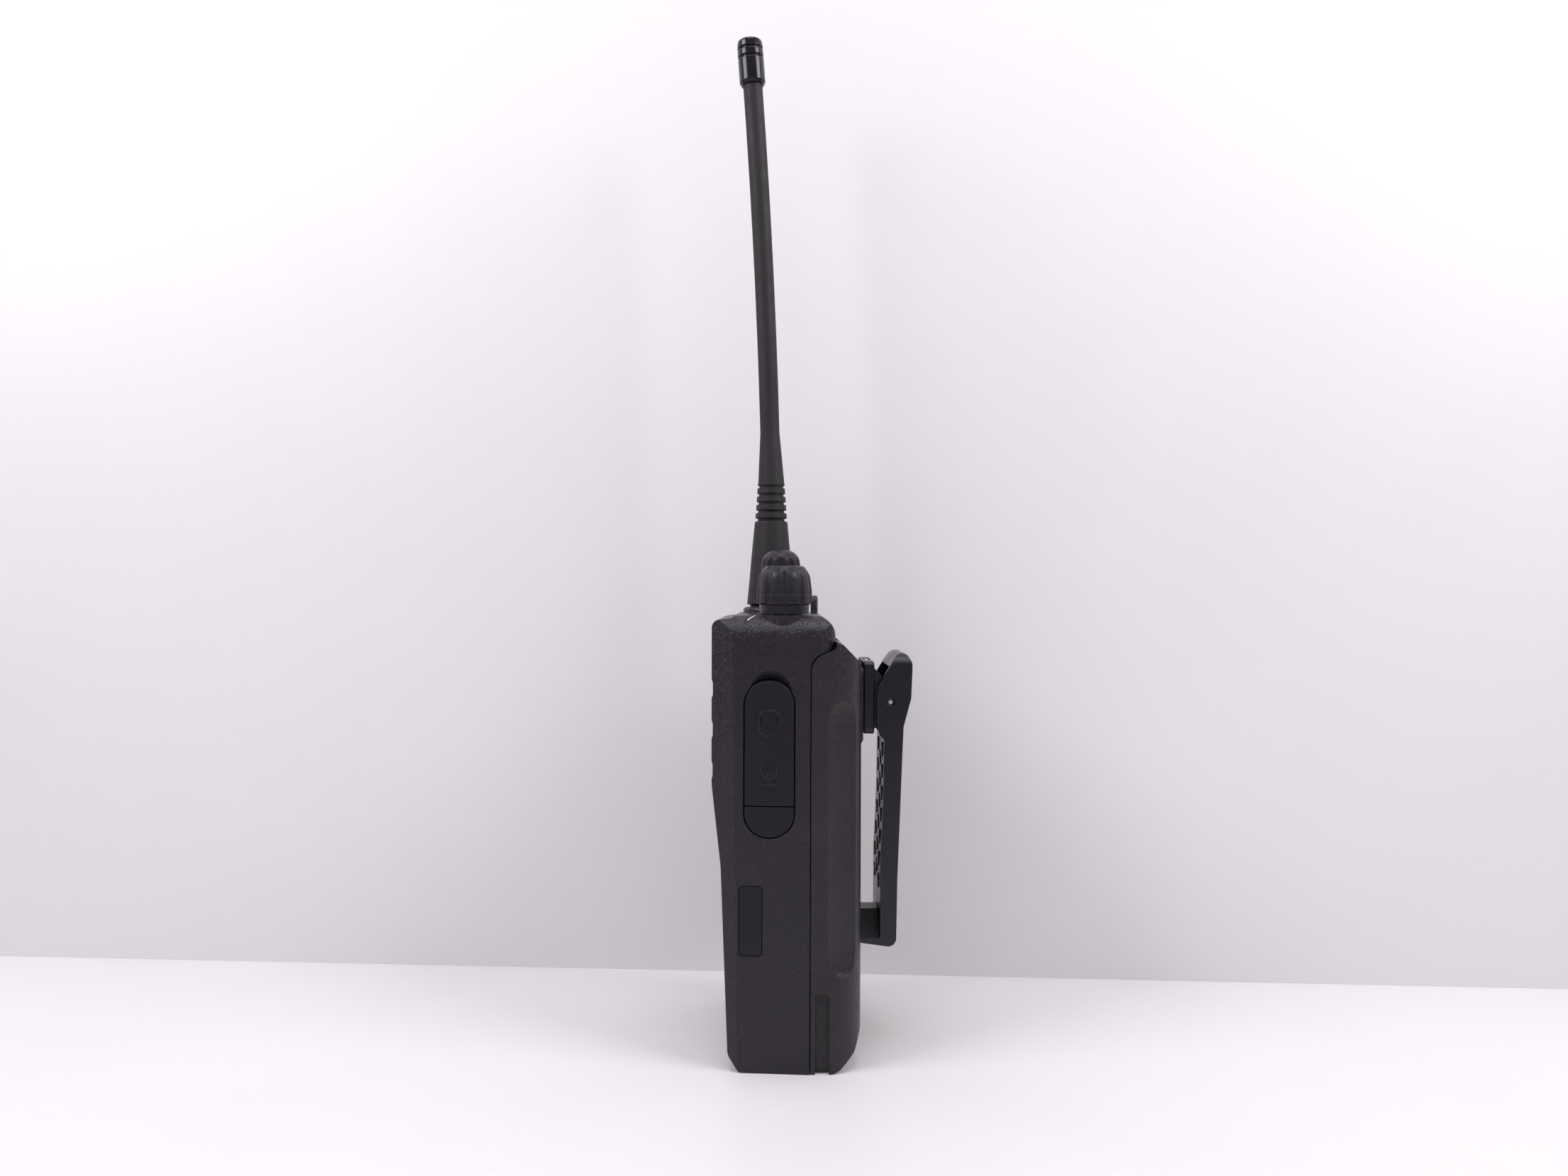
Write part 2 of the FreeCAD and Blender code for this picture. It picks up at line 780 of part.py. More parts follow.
def side_flutes(knob, flute, count, foot, head):
    """Finger flutes up the side of a grip, between two (reach, level) centres."""
    side = knob.newObject("PartDesign::SubtractiveLoft", "side_flute")
    side.Profile = new_sketch(knob, "XY", foot[1])
    circle_outline(side.Profile[0], foot[0], 0, flute)
    side.Sections = [new_sketch(knob, "XY", head[1])]
    circle_outline(side.Sections[0][0], head[0], 0, flute)
    side.Ruled = True
    doc.recompute()
    repeat_round(knob, side, count)


def dome_flutes(knob, flute, count, head, swing, sweep):
    """Carry the flutes on from their heads, swinging inwards over the domed edge."""
    section = new_sketch(knob, "XY", head[1])
    circle_outline(section, head[0], 0, flute)
    line = section.addGeometry(Part.LineSegment(flat(swing, 10), flat(swing, -10)), True)
    pin_point(section, line, 1, swing, 10)
    pin_point(section, line, 2, swing, -10)
    dome = knob.newObject("PartDesign::Groove", "dome_flute")
    dome.Profile = section
    dome.ReferenceAxis = (section, ["Axis0"])
    dome.Angle = sweep
    doc.recompute()
    repeat_round(knob, dome, count)


def volume_knob():
    knob = new_body("volume_knob", (D.volume_x, 0, 0))
    rim = D.volume_radius
    base = D.volume_base_radius
    bore = D.shaft_radius + 0.01
    turned(knob, [
        (bore, 132.0),
        (bore, 140.2),
        (0, 140.2),
        (0, D.volume_top),
        (rim - 2.25, D.volume_top, 1.4),
        (rim - 0.55, D.volume_top - 2.6, 5.0),
        (rim, 134.8, 6.0),
        (rim, 130.9, 0.9),
        (base + 0.1, 130.6),
        (base, D.body_height + D.knob_clearance),
        (5.9, D.body_height + D.knob_clearance),
        (5.9, 132.0),
    ])
    head = (rim + 1.5, 134.6)
    side_flutes(knob, 2.0, D.volume_flutes, (rim + 1.5, 130.0), head)
    dome_flutes(knob, 2.0, D.volume_flutes, head, -12.2, 24)
    pocket(knob, "XY", pointer_slot(-49), 140.8, 150)
    return knob


def pointer_slot(bearing):
    """Narrow radial slot near the rim, at an angle in degrees from +X."""
    angle = math.radians(bearing)
    along = FreeCAD.Vector(math.cos(angle), math.sin(angle), 0)
    across = FreeCAD.Vector(-math.sin(angle), math.cos(angle), 0) * 0.25
    points = [along * 4.2 - across, along * 6.6 - across, along * 6.6 + across, along * 4.2 + across]
    return [(point.x, point.y) for point in points]


def channel_knob():
    knob = new_body("channel_knob", (D.channel_x, D.channel_y, 0))
    rim = D.channel_radius
    bore = D.shaft_radius + 0.01
    turned(knob, [
        (bore, 131.2),
        (bore, 144.2),
        (0, 144.2),
        (0, D.channel_top),
        (rim - 0.85, D.channel_top, 4.4),
        (rim, 131.2, 0.6),
        (rim, D.body_height + 0.45),
        (5.5, D.body_height + 0.45),
        (5.5, 131.2),
    ])
    side_flutes(knob, 1.8, D.channel_flutes, (rim + 1.35, 131.8), (rim + 0.4, 148.0))
    return knob


def control(name, x, y, top, shaft_top):
    """Switch can with threaded bushing, nut on the deck and turning shaft."""
    can = box(name + "_can", (x - 5.8, y - 5.2, 112.3), (x + 5.8, y + 4.0, 121.5))
    neck = cylinder(name + "_neck", (x, y, 121), D.bushing_radius, top - 121)
    hole = cylinder(name + "_hole", (x, y, 115), D.shaft_radius + 0.1, top - 110)
    switch = cut_all(name + "_switch", fuse(name + "_body", [can, neck]), [hole])
    shaft = new_body(name + "_shaft", (x, y, 0))
    pad(shaft, "XY", (0, 0, D.shaft_radius), 115.3, shaft_top)
    nut = new_body(name + "_nut", (x, y, 0))
    hexagon = []
    for k in range(6):
        angle = math.radians(60 * k)
        hexagon.append((5.2 * math.cos(angle), 5.2 * math.sin(angle)))
    pad(nut, "XY", hexagon, D.body_height + 0.2, D.body_height + 2.2)
    pocket(nut, "XY", (0, 0, D.bushing_radius + 0.02), 120, 140)
    return [switch, shaft, nut]


# ---------------------------------------------------------------- antenna

def antenna_socket():
    body = new_body("antenna_socket", (D.antenna_x, D.antenna_y, 0))
    turned(body, [
        (D.socket_bore, D.collar_top + 0.1),
        (5.4, D.collar_top + 0.1),
        (5.4, 122.5),
        (6.6, 122.5),
        (6.6, 120.8),
        (4.6, 120.8),
        (4.6, 114.0),
        (0, 114.0),
        (0, 116.5),
        (D.socket_bore, 116.5),
    ])
    return body


def antenna_stud():
    body = new_body("antenna_stud", (D.antenna_x, D.antenna_y, 0))
    turned(body, [
        (0, 119.5),
        (D.stud_radius, 119.5, 0.4),
        (D.stud_radius, D.antenna_seat),
        (5.5, D.antenna_seat),
        (5.5, 133.5),
        (0, 133.5),
    ])
    return body


def antenna_seal():
    return torus("antenna_seal", (D.antenna_x, D.antenna_y, D.collar_top + 0.42), 6.4, 0.3)


def antenna_sheath():
    """Ribbed over-moulded base, a slightly leaning cone above it, and the gently bowed whip."""
    base = new_body("antenna_base", (D.antenna_x, D.antenna_y, 0))
    turned(base, [
        (0, 133.6),
        (5.6, 133.6),
        (5.6, D.antenna_seat + 0.15),
        (D.antenna_base_radius, D.antenna_seat + 0.15, 0.4),
        (6.9, 138.0, 20.0),
        (6.1, 147.5, 20.0),
        (5.3, 156.0, 0.4),
        (5.1, 157.2),
        (D.antenna_neck_radius, D.lean_start),
        (0, D.lean_start),
    ])
    cone = leaning_body("antenna_cone", (D.antenna_x, D.antenna_y, D.lean_start))
    turned(cone, [
        (0, -0.2),
        (D.antenna_neck_radius - 0.1, -0.2),
        (D.antenna_neck_radius - 0.1, 0.2),
        (D.whip_radius, D.cone_length),
        (0, D.cone_length),
    ])
    moulded = fuse("antenna_moulded", [base, cone, whip_rod("whip_rod", D.whip_radius, D.whip_length)])
    ribbed = cut_all("antenna_ribbed", moulded, rib_grooves())
    return cut_all("antenna_sheath", ribbed, [whip_rod("core_space", 0.9, D.whip_length + 1)])


def rib_grooves():
    """Five vee-sided grooves, growing shallower upwards, that leave four ribs between them."""
    grooves = []
    for step in range(5):
        ring = new_body("rib_groove_%d" % step, (D.antenna_x, D.antenna_y, 0))
        middle = 157.15 + 2.64 * step
        floor = 4.3 - 0.11 * step
        turned(ring, [
            (floor, middle - 0.35),
            (6.6, middle - 1.0),
            (6.6, middle + 1.0),
            (floor, middle + 0.35),
        ])
        grooves.append(ring)
    return grooves


def leaning_body(label, at):
    return new_body(label, at, (1, 0, 0), D.lean_deg)


def whip_foot():
    """Top of the leaning cone, where the bow begins."""
    lean = math.radians(D.lean_deg.value)
    back = D.antenna_y - D.cone_length * math.sin(lean)
    return D.antenna_x, back, D.lean_start + D.cone_length * math.cos(lean)


def whip_rod(label, radius, length):
    """Rod along the bow: a section swung a few degrees about a far axis, tangent to the cone."""
    body = leaning_body(label, whip_foot())
    section = new_sketch(body, "XY")
    circle_outline(section, 0, 0, radius)
    hinge_line = Part.LineSegment(flat(-10, -D.bend_radius), flat(10, -D.bend_radius))
    line = section.addGeometry(hinge_line, True)
    pin_point(section, line, 1, -10, -D.bend_radius)
    pin_point(section, line, 2, 10, -D.bend_radius)
    bow = body.newObject("PartDesign::Revolution", "bow")
    bow.Profile = section
    bow.ReferenceAxis = (section, ["Axis0"])
    sweep = size(length) / D.bend_radius * 57.29578
    bow.Angle = sweep.value
    bind(bow, "Angle", sweep)
    doc.recompute()
    if body.Shape.BoundBox.ZMin < whip_foot()[2].value - 1:
        bow.Reversed = True
        doc.recompute()
    return body


def bow_point(length):
    """Where the bowed axis is after a length of arc, and its lean in degrees."""
    bend = length / D.bend_radius.value
    reach = D.bend_radius.value * FreeCAD.Vector(0, math.cos(bend) - 1, math.sin(bend))
    reach = FreeCAD.Rotation(FreeCAD.Vector(1, 0, 0), D.lean_deg.value).multVec(reach)
    foot_x, foot_y, foot_z = whip_foot()
    at = (foot_x, foot_y + reach.y, foot_z + reach.z)
    return at, math.degrees(bend) + D.lean_deg.value


def antenna_cap():
    """End cap with two turned grooves near its top."""
    at, lean = bow_point(D.whip_length.value - 1.6)
    cap = new_body("antenna_cap", at, (1, 0, 0), lean)
    rim = D.cap_radius
    floor = rim - 0.55
    length = D.cap_length
    corners = [
        (0, 1.75),
        (D.whip_radius + 0.05, 1.75),
        (D.whip_radius + 0.05, 0),
        (rim - 0.5, 0),
        (rim, 0.9, 0.4),
    ]
    for low in (length - 6.3, length - 3.55):
        corners += [
            (rim, low, 0.3),
            (floor, low + 0.22, 0.15),
            (floor, low + 0.63, 0.15),
            (rim, low + 0.85, 0.3),
        ]
    corners += [(rim - 0.25, length, 1.1), (0, length)]
    turned(cap, corners)
    return cap


def antenna_core():
    return whip_rod("antenna_core", 0.85, D.whip_length - 0.6)


# ---------------------------------------------------------------- inside the radio

def speaker_parts():
    """Loudspeaker behind the grille: frame, cone, magnet and cloth."""
    at = (0, -18.1, D.speaker_z)
    frame = new_body("speaker_frame", at, (1, 0, 0), -90)
    rim = D.speaker_radius
    turned(frame, [
        (rim - 2, 0.5), (rim, 0.5), (rim, 2.0), (9.6, 6.6),
        (9.6, 7.2), (4.2, 7.2), (4.2, 6.4), (9.0, 6.4), (rim - 2, 1.9),
    ])
    cone = new_body("speaker_cone", at, (1, 0, 0), -90)
    turned(cone, [
        (0, 2.4), (1.2, 2.4), (3.8, 3.4), (4.6, 3.4), (rim - 2.2, 0.75),
        (rim - 2.2, 1.15), (4.8, 4.0), (4.0, 6.2), (3.6, 6.2), (3.6, 4.0), (1.2, 3.0), (0, 3.0),
    ])
    magnet = new_body("speaker_magnet", at, (1, 0, 0), -90)
    turned(magnet, [
        (0, 6.6), (3.2, 6.6), (3.2, 7.4), (8.8, 7.4), (8.8, 10.8), (0, 10.8),
    ])
    cloth = new_body("grille_cloth", at, (1, 0, 0), -90)
    pad(cloth, "XY", (0, 0, D.speaker_radius), 0.05, 0.4)
    return [frame, cone, magnet, cloth]


def microphone_parts():
    at = (-16.0, -15.1, 66.0)
    mic = new_body("microphone", at, (1, 0, 0), -90)
    pad(mic, "XY", (0, 0, 3.0), 0.7, 3.2)
    boot = new_body("microphone_boot", at, (1, 0, 0), -90)
    pad(boot, "XY", (0, 0, 4.2), 0.0, 3.4)
    pocket(boot, "XY", (0, 0, 3.02), 0.6, 4)
    pocket(boot, "XY", (0, 0, 0.8), -1, 1)
    return [mic, boot]


def chassis_parts():
    """Die-cast back frame that the battery lies against, and its seal."""
    chassis = new_body("chassis")
    pad(chassis, "XZ", rectangle(-26.8, 26.8, 4.0, 116.0, 3.0), 4.9, 7.1)
    for side in (-1, 1):
        wall = rectangle(side * 20.0 - 1.0, side * 20.0 + 1.0, 10.0, 62.0)
        pad(chassis, "XZ", wall, 3.4, 5.0)
    for level in (30.0, 52.0, 74.0, 96.0):
        pad(chassis, "XZ", rectangle(-18.0, 18.0, level - 0.6, level + 0.6), 4.1, 5.0)
    pocket(chassis, "XZ", rectangle(-9.4, 9.4, 14.0, 25.0, 1.0), 3, 9)
    seal = new_body("chassis_seal")
    pad(seal, "XZ", rectangle(-26.6, 26.6, 4.2, 115.8, 3.0), 4.1, 4.85)
    pocket(seal, "XZ", rectangle(-25.4, 25.4, 5.4, 114.6, 2.0), 3, 6)
    return [chassis, seal]


def board_parts():
    board = new_body("main_board")
    pad(board, "XZ", [
        (-21.5, 8.0), (24.0, 8.0), (24.0, 60.0), (17.8, 62.0), (17.8, 108.0), (-21.5, 108.0),
    ], 1.6, 3.0)
    for column, row in ((-19.0, 11.0), (21.5, 11.0), (-19.0, 105.0), (15.5, 105.0)):
        pocket(board, "XZ", (column, row, 1.2), 0, 4)
    cans = []
    for label, low, high, left, right in (("shield_lower", 14.0, 36.0, -18.0, 20.0),
                                          ("shield_upper", 39.0, 60.0, -18.0, 14.0)):
        can = new_body(label)
        pad(can, "XZ", rectangle(left, right, low, high, 1.0), -2.6, 1.58)
        soften(can, 0.5, lambda e: e.BoundBox.YMax < -2.59)
        cans.append(can)
    processor = box("processor_chip", (-9.0, 0.2, 66.0), (5.0, 1.58, 78.0))
    return [board] + cans + [processor]


def radio_contacts():
    """Contact block with four spring tongues facing the battery."""
    block = box("contact_block", (-9.0, 3.1, 14.4), (9.0, 6.3, 24.6))
    tongues = []
    for step in range(4):
        x = -6.6 + 4.4 * step
        tongue = new_body("tongue_%d" % step, (x, 0, 0))
        pad(tongue, "YZ", [
            (6.2, 16.4), (6.6, 16.4), (7.5, 19.0), (7.5, 20.0), (6.6, 22.6), (6.2, 22.6),
        ], -0.9, 0.9)
        tongues.append(tongue)
    return fuse("radio_contacts", [block] + tongues)


def light_pipe():
    body = new_body("status_light", (-13.0, -20.5, 119.4), (1, 0, 0), -90)
    turned(body, [(0, 0), (1.25, 0, 0.4), (1.25, 2.1), (1.9, 2.1), (1.9, 4.5), (0, 4.5)])
    return body


def housing_screws():
    """Four screws through the chassis corners."""
    screws = []
    for number, (x, z) in enumerate(((-22.5, 9.5), (22.5, 9.5), (-22.5, 110.0), (22.5, 110.0))):
        screw = new_body("housing_screw_%d" % (number + 1), (x, 7.3, z), (1, 0, 0), 90)
        turned(screw, [(0, 0.02), (2.1, 0.02), (2.1, 0.18), (0, 0.18)])
        pocket(screw, "XY", rectangle(-1.5, 1.5, -0.3, 0.3), -1, 0.1)
        screws.append(screw)
    return screws


def small_front_parts():
    plate = new_body("nameplate")
    pad(plate, "XZ", rectangle(-8.85, 16.85, 116.05, 122.95, 0.4), -20.5, -20.16)
    rounded = doc.getObjectsByLabel("housing_rounded")[0]
    mark = common("index_mark", [mark_prism("mark_fill", 2.4, 0.3), rounded])
    return [plate, mark]


# ---------------------------------------------------------------- battery

def battery_plan(label, front, half, back, corner):
    body = new_body(label)
    pad(body, "XY", [
        (-half, front), (half, front), (half, back, corner), (-half, back, corner),
    ], -1, 125)
    return body


def battery_side(label, corners, half):
    body = new_body(label)
    pad(body, "YZ", corners, -half, half)
    return body


def grip_scoop(label, sign):
    """Long smooth hollow on one rear corner."""
    reach = 33.5
    angle = math.radians(28)
    x = sign * (D.battery_half - D.battery_corner + reach * math.cos(angle))
    y = D.battery_back - D.battery_corner + reach * math.sin(angle)
    body = new_body(label, (x, y, 65.2))
    turned(body, [(0, -43.0), (24.0, -43.0, 9.0), (25.0, -32.0), (25.0, 32.0),
                  (24.0, 43.0, 9.0), (0, 43.0)])
    return body


def side_groove(label, sign):
    """Guide groove for a desk charger low on one side of the pack."""
    body = new_body(label)
    inner = sign * (D.battery_half - 1.5)
    outer = sign * (D.battery_half + 3)
    low, high = (inner, outer) if sign > 0 else (outer, inner)
    pad(body, "YZ", [
        (D.groove_front, -1), (D.groove_back, -1), (D.groove_back, D.groove_top, 1.2),
        (D.groove_front, D.groove_top, 1.2),
    ], low, high)
    return body


def battery_outer():
    return battery_side("battery_profile", [
        (D.battery_front, 0),
        (13.6, 0),
        (16.0, 0.9, 2.0),
        (20.2, 4.9, 3.0),
        (D.battery_back, 10.7, 5.0),
        (D.battery_back, 113.9, 1.5),
        (16.6, 119.5, 0.8),
        (D.block_back + 0.25, D.battery_top),
        (D.block_back + 0.25, D.block_under - 0.15),
        (D.battery_front, D.block_corner - 0.35, D.block_sweep),
    ], 40)


def battery_shell():
    plan = battery_plan("battery_plan", D.battery_front, D.battery_half,
                        D.battery_back, D.battery_corner)
    outer = common("battery_outer", [plan, battery_outer()])
    inner_plan = battery_plan("battery_inner_plan", 7.0, 27.2, D.battery_back - 2, 8.6)
    inner_side = battery_side("battery_inner_profile", [
        (7.0, 3.0), (12.6, 3.0), (17.2, 6.4), (D.battery_back - 2, 9.6),
        (D.battery_back - 2, 109.2), (7.0, 109.2),
    ], 40)
    inner = common("battery_inner", [inner_plan, inner_side])
    stem = box("rail_stem", (-5.8, 21.0, 94.0), (5.8, 24.5, 111.4))
    head = box("rail_head", (-D.rail_half + 0.2, 24.25, 94.0), (D.rail_half - 0.2, 25.4, 111.4))
    solid = fuse("battery_solid", [outer, clip_seat(), stem, head] + battery_feet())
    tools = [inner, grip_scoop("scoop_right", 1), grip_scoop("scoop_left", -1),
             side_groove("groove_right", 1), side_groove("groove_left", -1),
             box("latch_bay", (-9.2, 14.9, 110.6), (9.2, 24, 125))]
    for step in range(3):
        low = 8.8 * step - 11.4
        tools.append(box("charge_window_%d" % step, (low, 17, 12.0), (low + 5.2, 24, 17.4)))
    return cut_all("battery_shell", solid, tools)


def clip_seat():
    """Raised flat behind the clip bracket, with a sloping lower edge."""
    seat = new_body("clip_seat")
    pad(seat, "YZ", [
        (20.0, 89.7), (22.0, 89.7), (23.0, 91.2), (23.0, 112.0), (20.0, 112.0),
    ], -16.0, 16.0)
    soften(seat, 1.5, lambda e: e.BoundBox.YLength > 0.5 and e.BoundBox.ZLength < 0.01)
    return seat


def battery_feet():
    """Two feet that hook into the slots at the bottom of the radio."""
    feet = []
    for side in (-1, 1):
        low_x = side * 14 - 3.8
        foot = box("foot_%d" % side, (low_x, 5.6, 0.95), (low_x + 7.6, 9.5, 2.35))
        feet.append(foot)
    return feet


def battery_inside():
    """Inner plate, cells, strap, protection board and contacts."""
    plate = new_body("battery_inner_plate")
    pad(plate, "XZ", rectangle(-27.0, 27.0, 3.2, 109.0, 1.5), 7.7, 9.0)
    pocket(plate, "XZ", rectangle(-8.6, 8.6, 15.0, 24.0, 0.8), 7, 9.5)
    cells = []
    for number in range(2):
        low = 11.2 + number * (D.cell_height + 1.2)
        cell = new_body("cell_%d" % (number + 1))
        half = D.cell_half_width
        pad(cell, "XY", rectangle(-half, half, 11.0, 19.0, 3.9), low, low + D.cell_height)
        cells.append(cell)
    strap = box("cell_strap", (-14.0, 10.55, 50.0), (-8.0, 10.9, 68.0))
    board = box("protection_board", (-12.0, 9.7, 10.5), (12.0, 10.5, 30.0))
    return [plate] + cells + [strap, board]


def battery_terminals():
    pads = []
    for step in range(4):
        x = -7.7 + 4.4 * step
        pads.append(box("terminal_pad_%d" % step, (x, 7.75, 16.4), (x + 2.2, 9.2, 22.6)))
    bar = box("terminal_bar", (-8.4, 9.1, 15.4), (8.4, 9.6, 23.4))
    return fuse("battery_terminals", pads + [bar])


def charging_contacts():
    pads = []
    for step in range(3):
        low = 8.8 * step - 11.2
        pads.append(box("charge_pad_%d" % step, (low, 19.4, 12.2), (low + 4.8, 21.5, 17.2)))
    bar = box("charge_bar", (-11.4, 19.3, 12.4), (11.4, 19.5, 17.0))
    return fuse("charging_contacts", pads + [bar])


def battery_latch():
    """Thumb slide at the top of the pack, with three grip ridges on its slope."""
    latch = new_body("battery_latch")
    pad(latch, "YZ", [
        (15.1, 113.0), (21.5, 113.0, 0.4), (15.9, 118.9, 0.6), (15.1, 119.2),
    ], -8.9, 8.9)
    down = FreeCAD.Vector(5.6, -5.9, 0).normalize()
    out = FreeCAD.Vector(5.9, 5.6, 0).normalize()
    for step in range(3):
        foot = FreeCAD.Vector(20.1, 114.47, 0) - down * 1.5 * step
        points = [foot + down * 0.5 - out * 0.1, foot + out * 0.4, foot - down * 0.5 - out * 0.1]
        pad(latch, "YZ", [(point.x, point.y) for point in points], -6.5, 6.5)
    return latch


# ---------------------------------------------------------------- belt clip

def clip_bracket():
    plate = new_body("bracket_plate")
    half = D.bracket_half
    pad(plate, "XZ", rectangle(-half, half, D.bracket_low, D.bracket_high, 1.6),
        D.bracket_front, D.bracket_back)
    soften(plate, 0.5, lambda e: e.BoundBox.ZMax < D.bracket_low.value + 0.01)
    ears = []
    for sign in (-1, 1):
        ear = new_body("ear_%d" % sign)
        low = 9.6 if sign > 0 else -11.9
        pad(ear, "YZ", [
            (D.bracket_back - 1, 93.2), (D.pin_y, 98.4, 2.5), (D.pin_y + 2.9, D.pin_z, 2.9),
            (D.pin_y + 0.4, 106.9, 2.0), (D.bracket_back - 1, 112.9),
        ], low, low + 2.3)
        ears.append(ear)
    solid = fuse("bracket_solid", [plate] + ears)
    stem = box("stem_channel", (-6.1, 22, 90), (6.1, 24.4, 112.2))
    head = box("head_channel", (-D.rail_half, 24.1, 90), (D.rail_half, 25.65, 112.2))
    tab = box("tab_slot", (-4.2, 24.1, 111), (4.2, 26.0, 116))
    hole = cylinder("ear_hole", (-15, D.pin_y, D.pin_z), D.pin_radius + 0.02, 30, "x")
    return cut_all("clip_bracket", solid, [stem, head, tab, hole])


def bracket_tab():
    """Pale spring leaf standing in the bracket's slot."""
    return box("bracket_tab", (-3.9, 24.6, 112.3), (3.9, 25.5, 113.7))


def clip_outline():
    """Side outline of the lever: sloping thumb end, waist, long leg and hooked foot."""
    return [
        (27.1, 103.8, 3.0),
        (27.5, 106.9, 2.0),
        (33.3, 116.3, 2.6),
        (36.0, 116.3, 2.1),
        (37.6, 113.6, 3.0),
        (37.2, 103.2, 8.0),
        (35.0, 95.0, 6.0),
        (34.7, 88.0, 20.0),
        (33.3, 50.0, 20.0),
        (33.0, 30.3, 2.4),
        (22.35, 31.7, 0.7),
        (22.35, 39.9, 0.5),
        (23.2, 39.0, 0.3),
        (28.3, 39.0, 0.8),
        (28.3, 54.0, 20.0),
        (29.1, 72.0, 20.0),
        (29.4, 91.0, 1.0),
        (28.0, 92.4, 1.0),
        (27.1, 96.0, 3.0),
    ]


def clip_lever():
    """Hollow thumb end on ears, a flat leg with blank raised pads inside, and a tapered tooth."""
    lever = new_body("clip_lever")
    pad(lever, "YZ", clip_outline(), -D.clip_half, D.clip_half)
    inside = [
        (20.0, 91.6), (30.6, 91.6, 1.0), (32.6, 94.6, 2.0), (35.0, 99.8, 4.0),
        (35.2, 109.6, 2.0), (32.6, 112.4, 0.6), (20.0, 112.4),
    ]
    inner = D.clip_half - 1.7
    pocket(lever, "YZ", inside, -inner, inner)
    pocket(lever, "YZ", (D.pin_y, D.pin_z, D.pin_radius + 0.02), -20, 20)
    pocket(lever, "YZ", (D.pin_y, D.pin_z, D.pin_radius + 0.25), D.clip_half - 0.5, 20)
    pocket(lever, "YZ", (D.pin_y, D.pin_z, D.pin_radius + 0.25), -20, 0.5 - D.clip_half)
    for sign in (-1, 1):
        shape_lever_side(lever, sign)
    inner_pads(lever)
    for number in range(4):
        x = -7.5 + 5.0 * number
        pad(lever, "YZ", [(33.0, 107.2), (35.6, 106.2), (35.6, 112.7), (32.0, 112.7)],
            x - 0.6, x + 0.6)
    return lever


def shape_lever_side(lever, sign):
    """Round one corner of the thumb end and slope one shoulder of the tooth."""
    edge = sign * (D.clip_half + 0.01)
    pocket(lever, "XZ", [
        (sign * 15, 110.5), (edge, 110.5), (edge, 116.35, 5.0), (sign * 8, 116.35),
        (sign * 8, 118), (sign * 15, 118),
    ], 20, 40)
    pocket(lever, "XZ", [
        (sign * 3, 39.3), (sign * 13, 33), (sign * 14.5, 33), (sign * 14.5, 43), (sign * 3, 43),
    ], 20, 28.28)


def inner_pads(lever):
    """Three staggered columns of blank raised pads down the leg's inner face."""
    for column, x in enumerate((-7.0, 0.5, 7.0)):
        for row in range(7 - column % 2):
            level = 48.5 + 6.5 * row + 3.25 * (column % 2)
            face = 28.3 + max(0, min(level - 54, 18)) * 0.0444 + max(0, level - 72) * 0.0158
            shape = rectangle(x - 1.5, x + 1.5, level - 2.1, level + 2.1, 1.4)
            pad(lever, "XZ", shape, face - 0.35, face + 0.7)


def clip_pin():
    pin = new_body("clip_pin", (0, D.pin_y, D.pin_z), (0, 1, 0), 90)
    end = D.clip_half - 0.45
    turned(pin, [
        (0, -end),
        (D.pin_radius - 0.25, -end),
        (D.pin_radius, 0.25 - end),
        (D.pin_radius, end - 0.25),
        (D.pin_radius - 0.25, end),
        (0, end),
    ])
    return pin


def clip_spring():
    """Torsion spring: coils round the pin with a leg against bracket and lever."""
    body = new_body("spring_coil", (-5.0, D.pin_y, D.pin_z), (0, 1, 0), 90)
    section = new_sketch(body, "XZ")
    circle_outline(section, 2.0, 0, 0.4)
    coil = body.newObject("PartDesign::AdditiveHelix", "coil")
    coil.Profile = section
    coil.ReferenceAxis = (section, ["V_Axis"])
    coil.Mode = 0
    coil.Pitch = 1.1
    coil.Height = 9.9
    doc.recompute()
    level = D.pin_z - 2.0
    outer_leg = cylinder("spring_leg_lever", (-5.0, D.pin_y - 0.1, level), 0.4, 3.6, "y")
    inner_leg = cylinder("spring_leg_bracket", (4.9, D.pin_y - 4.3, level), 0.4, 4.4, "y")
    return fuse("clip_spring", [body, outer_leg, inner_leg])


# ---------------------------------------------------------------- build and export

def build():
    pieces = [front_housing()]
    pieces += dust_cover_parts()
    pieces += [jack_block(), side_plug()]
    pieces += switch_parts()
    pieces += [volume_knob(), channel_knob()]
    pieces += control("volume", D.volume_x, 0, D.body_height + 3.0, 140.1)
    pieces += control("channel", D.channel_x, D.channel_y, D.body_height + 3.0, 144.1)
    pieces += [antenna_socket(), antenna_stud(), antenna_seal(), antenna_sheath()]
    pieces += [antenna_cap(), antenna_core()]
    pieces += speaker_parts() + microphone_parts() + chassis_parts() + board_parts()
    pieces += [radio_contacts(), light_pipe()] + housing_screws() + small_front_parts()
    pieces += [battery_shell()] + battery_inside()
    pieces += [battery_terminals(), charging_contacts(), battery_latch()]
    pieces += [clip_bracket(), bracket_tab(), clip_lever(), clip_pin(), clip_spring()]
    return pieces


def export(pieces):
    os.makedirs("parts", exist_ok=True)
    doc.recompute()
    for thing in doc.Objects:
        if "Invalid" in thing.State or "Error" in thing.State:
            raise RuntimeError("%s is in state %s" % (thing.Label, thing.State))
    for piece in pieces:
        shape = piece.Shape
        if shape.isNull() or not shape.isValid():
            raise RuntimeError("%s has no valid shape" % piece.Label)
        if len(shape.Solids) != 1:
            raise RuntimeError("%s has %d solids" % (piece.Label, len(shape.Solids)))
        shape.exportStep(os.path.join("parts", piece.Label + ".step"))


export(build())
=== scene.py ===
"""Looks for the handheld two-way radio: procedural surfaces, small visual pieces, stage, lights, camera."""
import json
import math

import bmesh
import bpy
from mathutils import Matrix, Vector


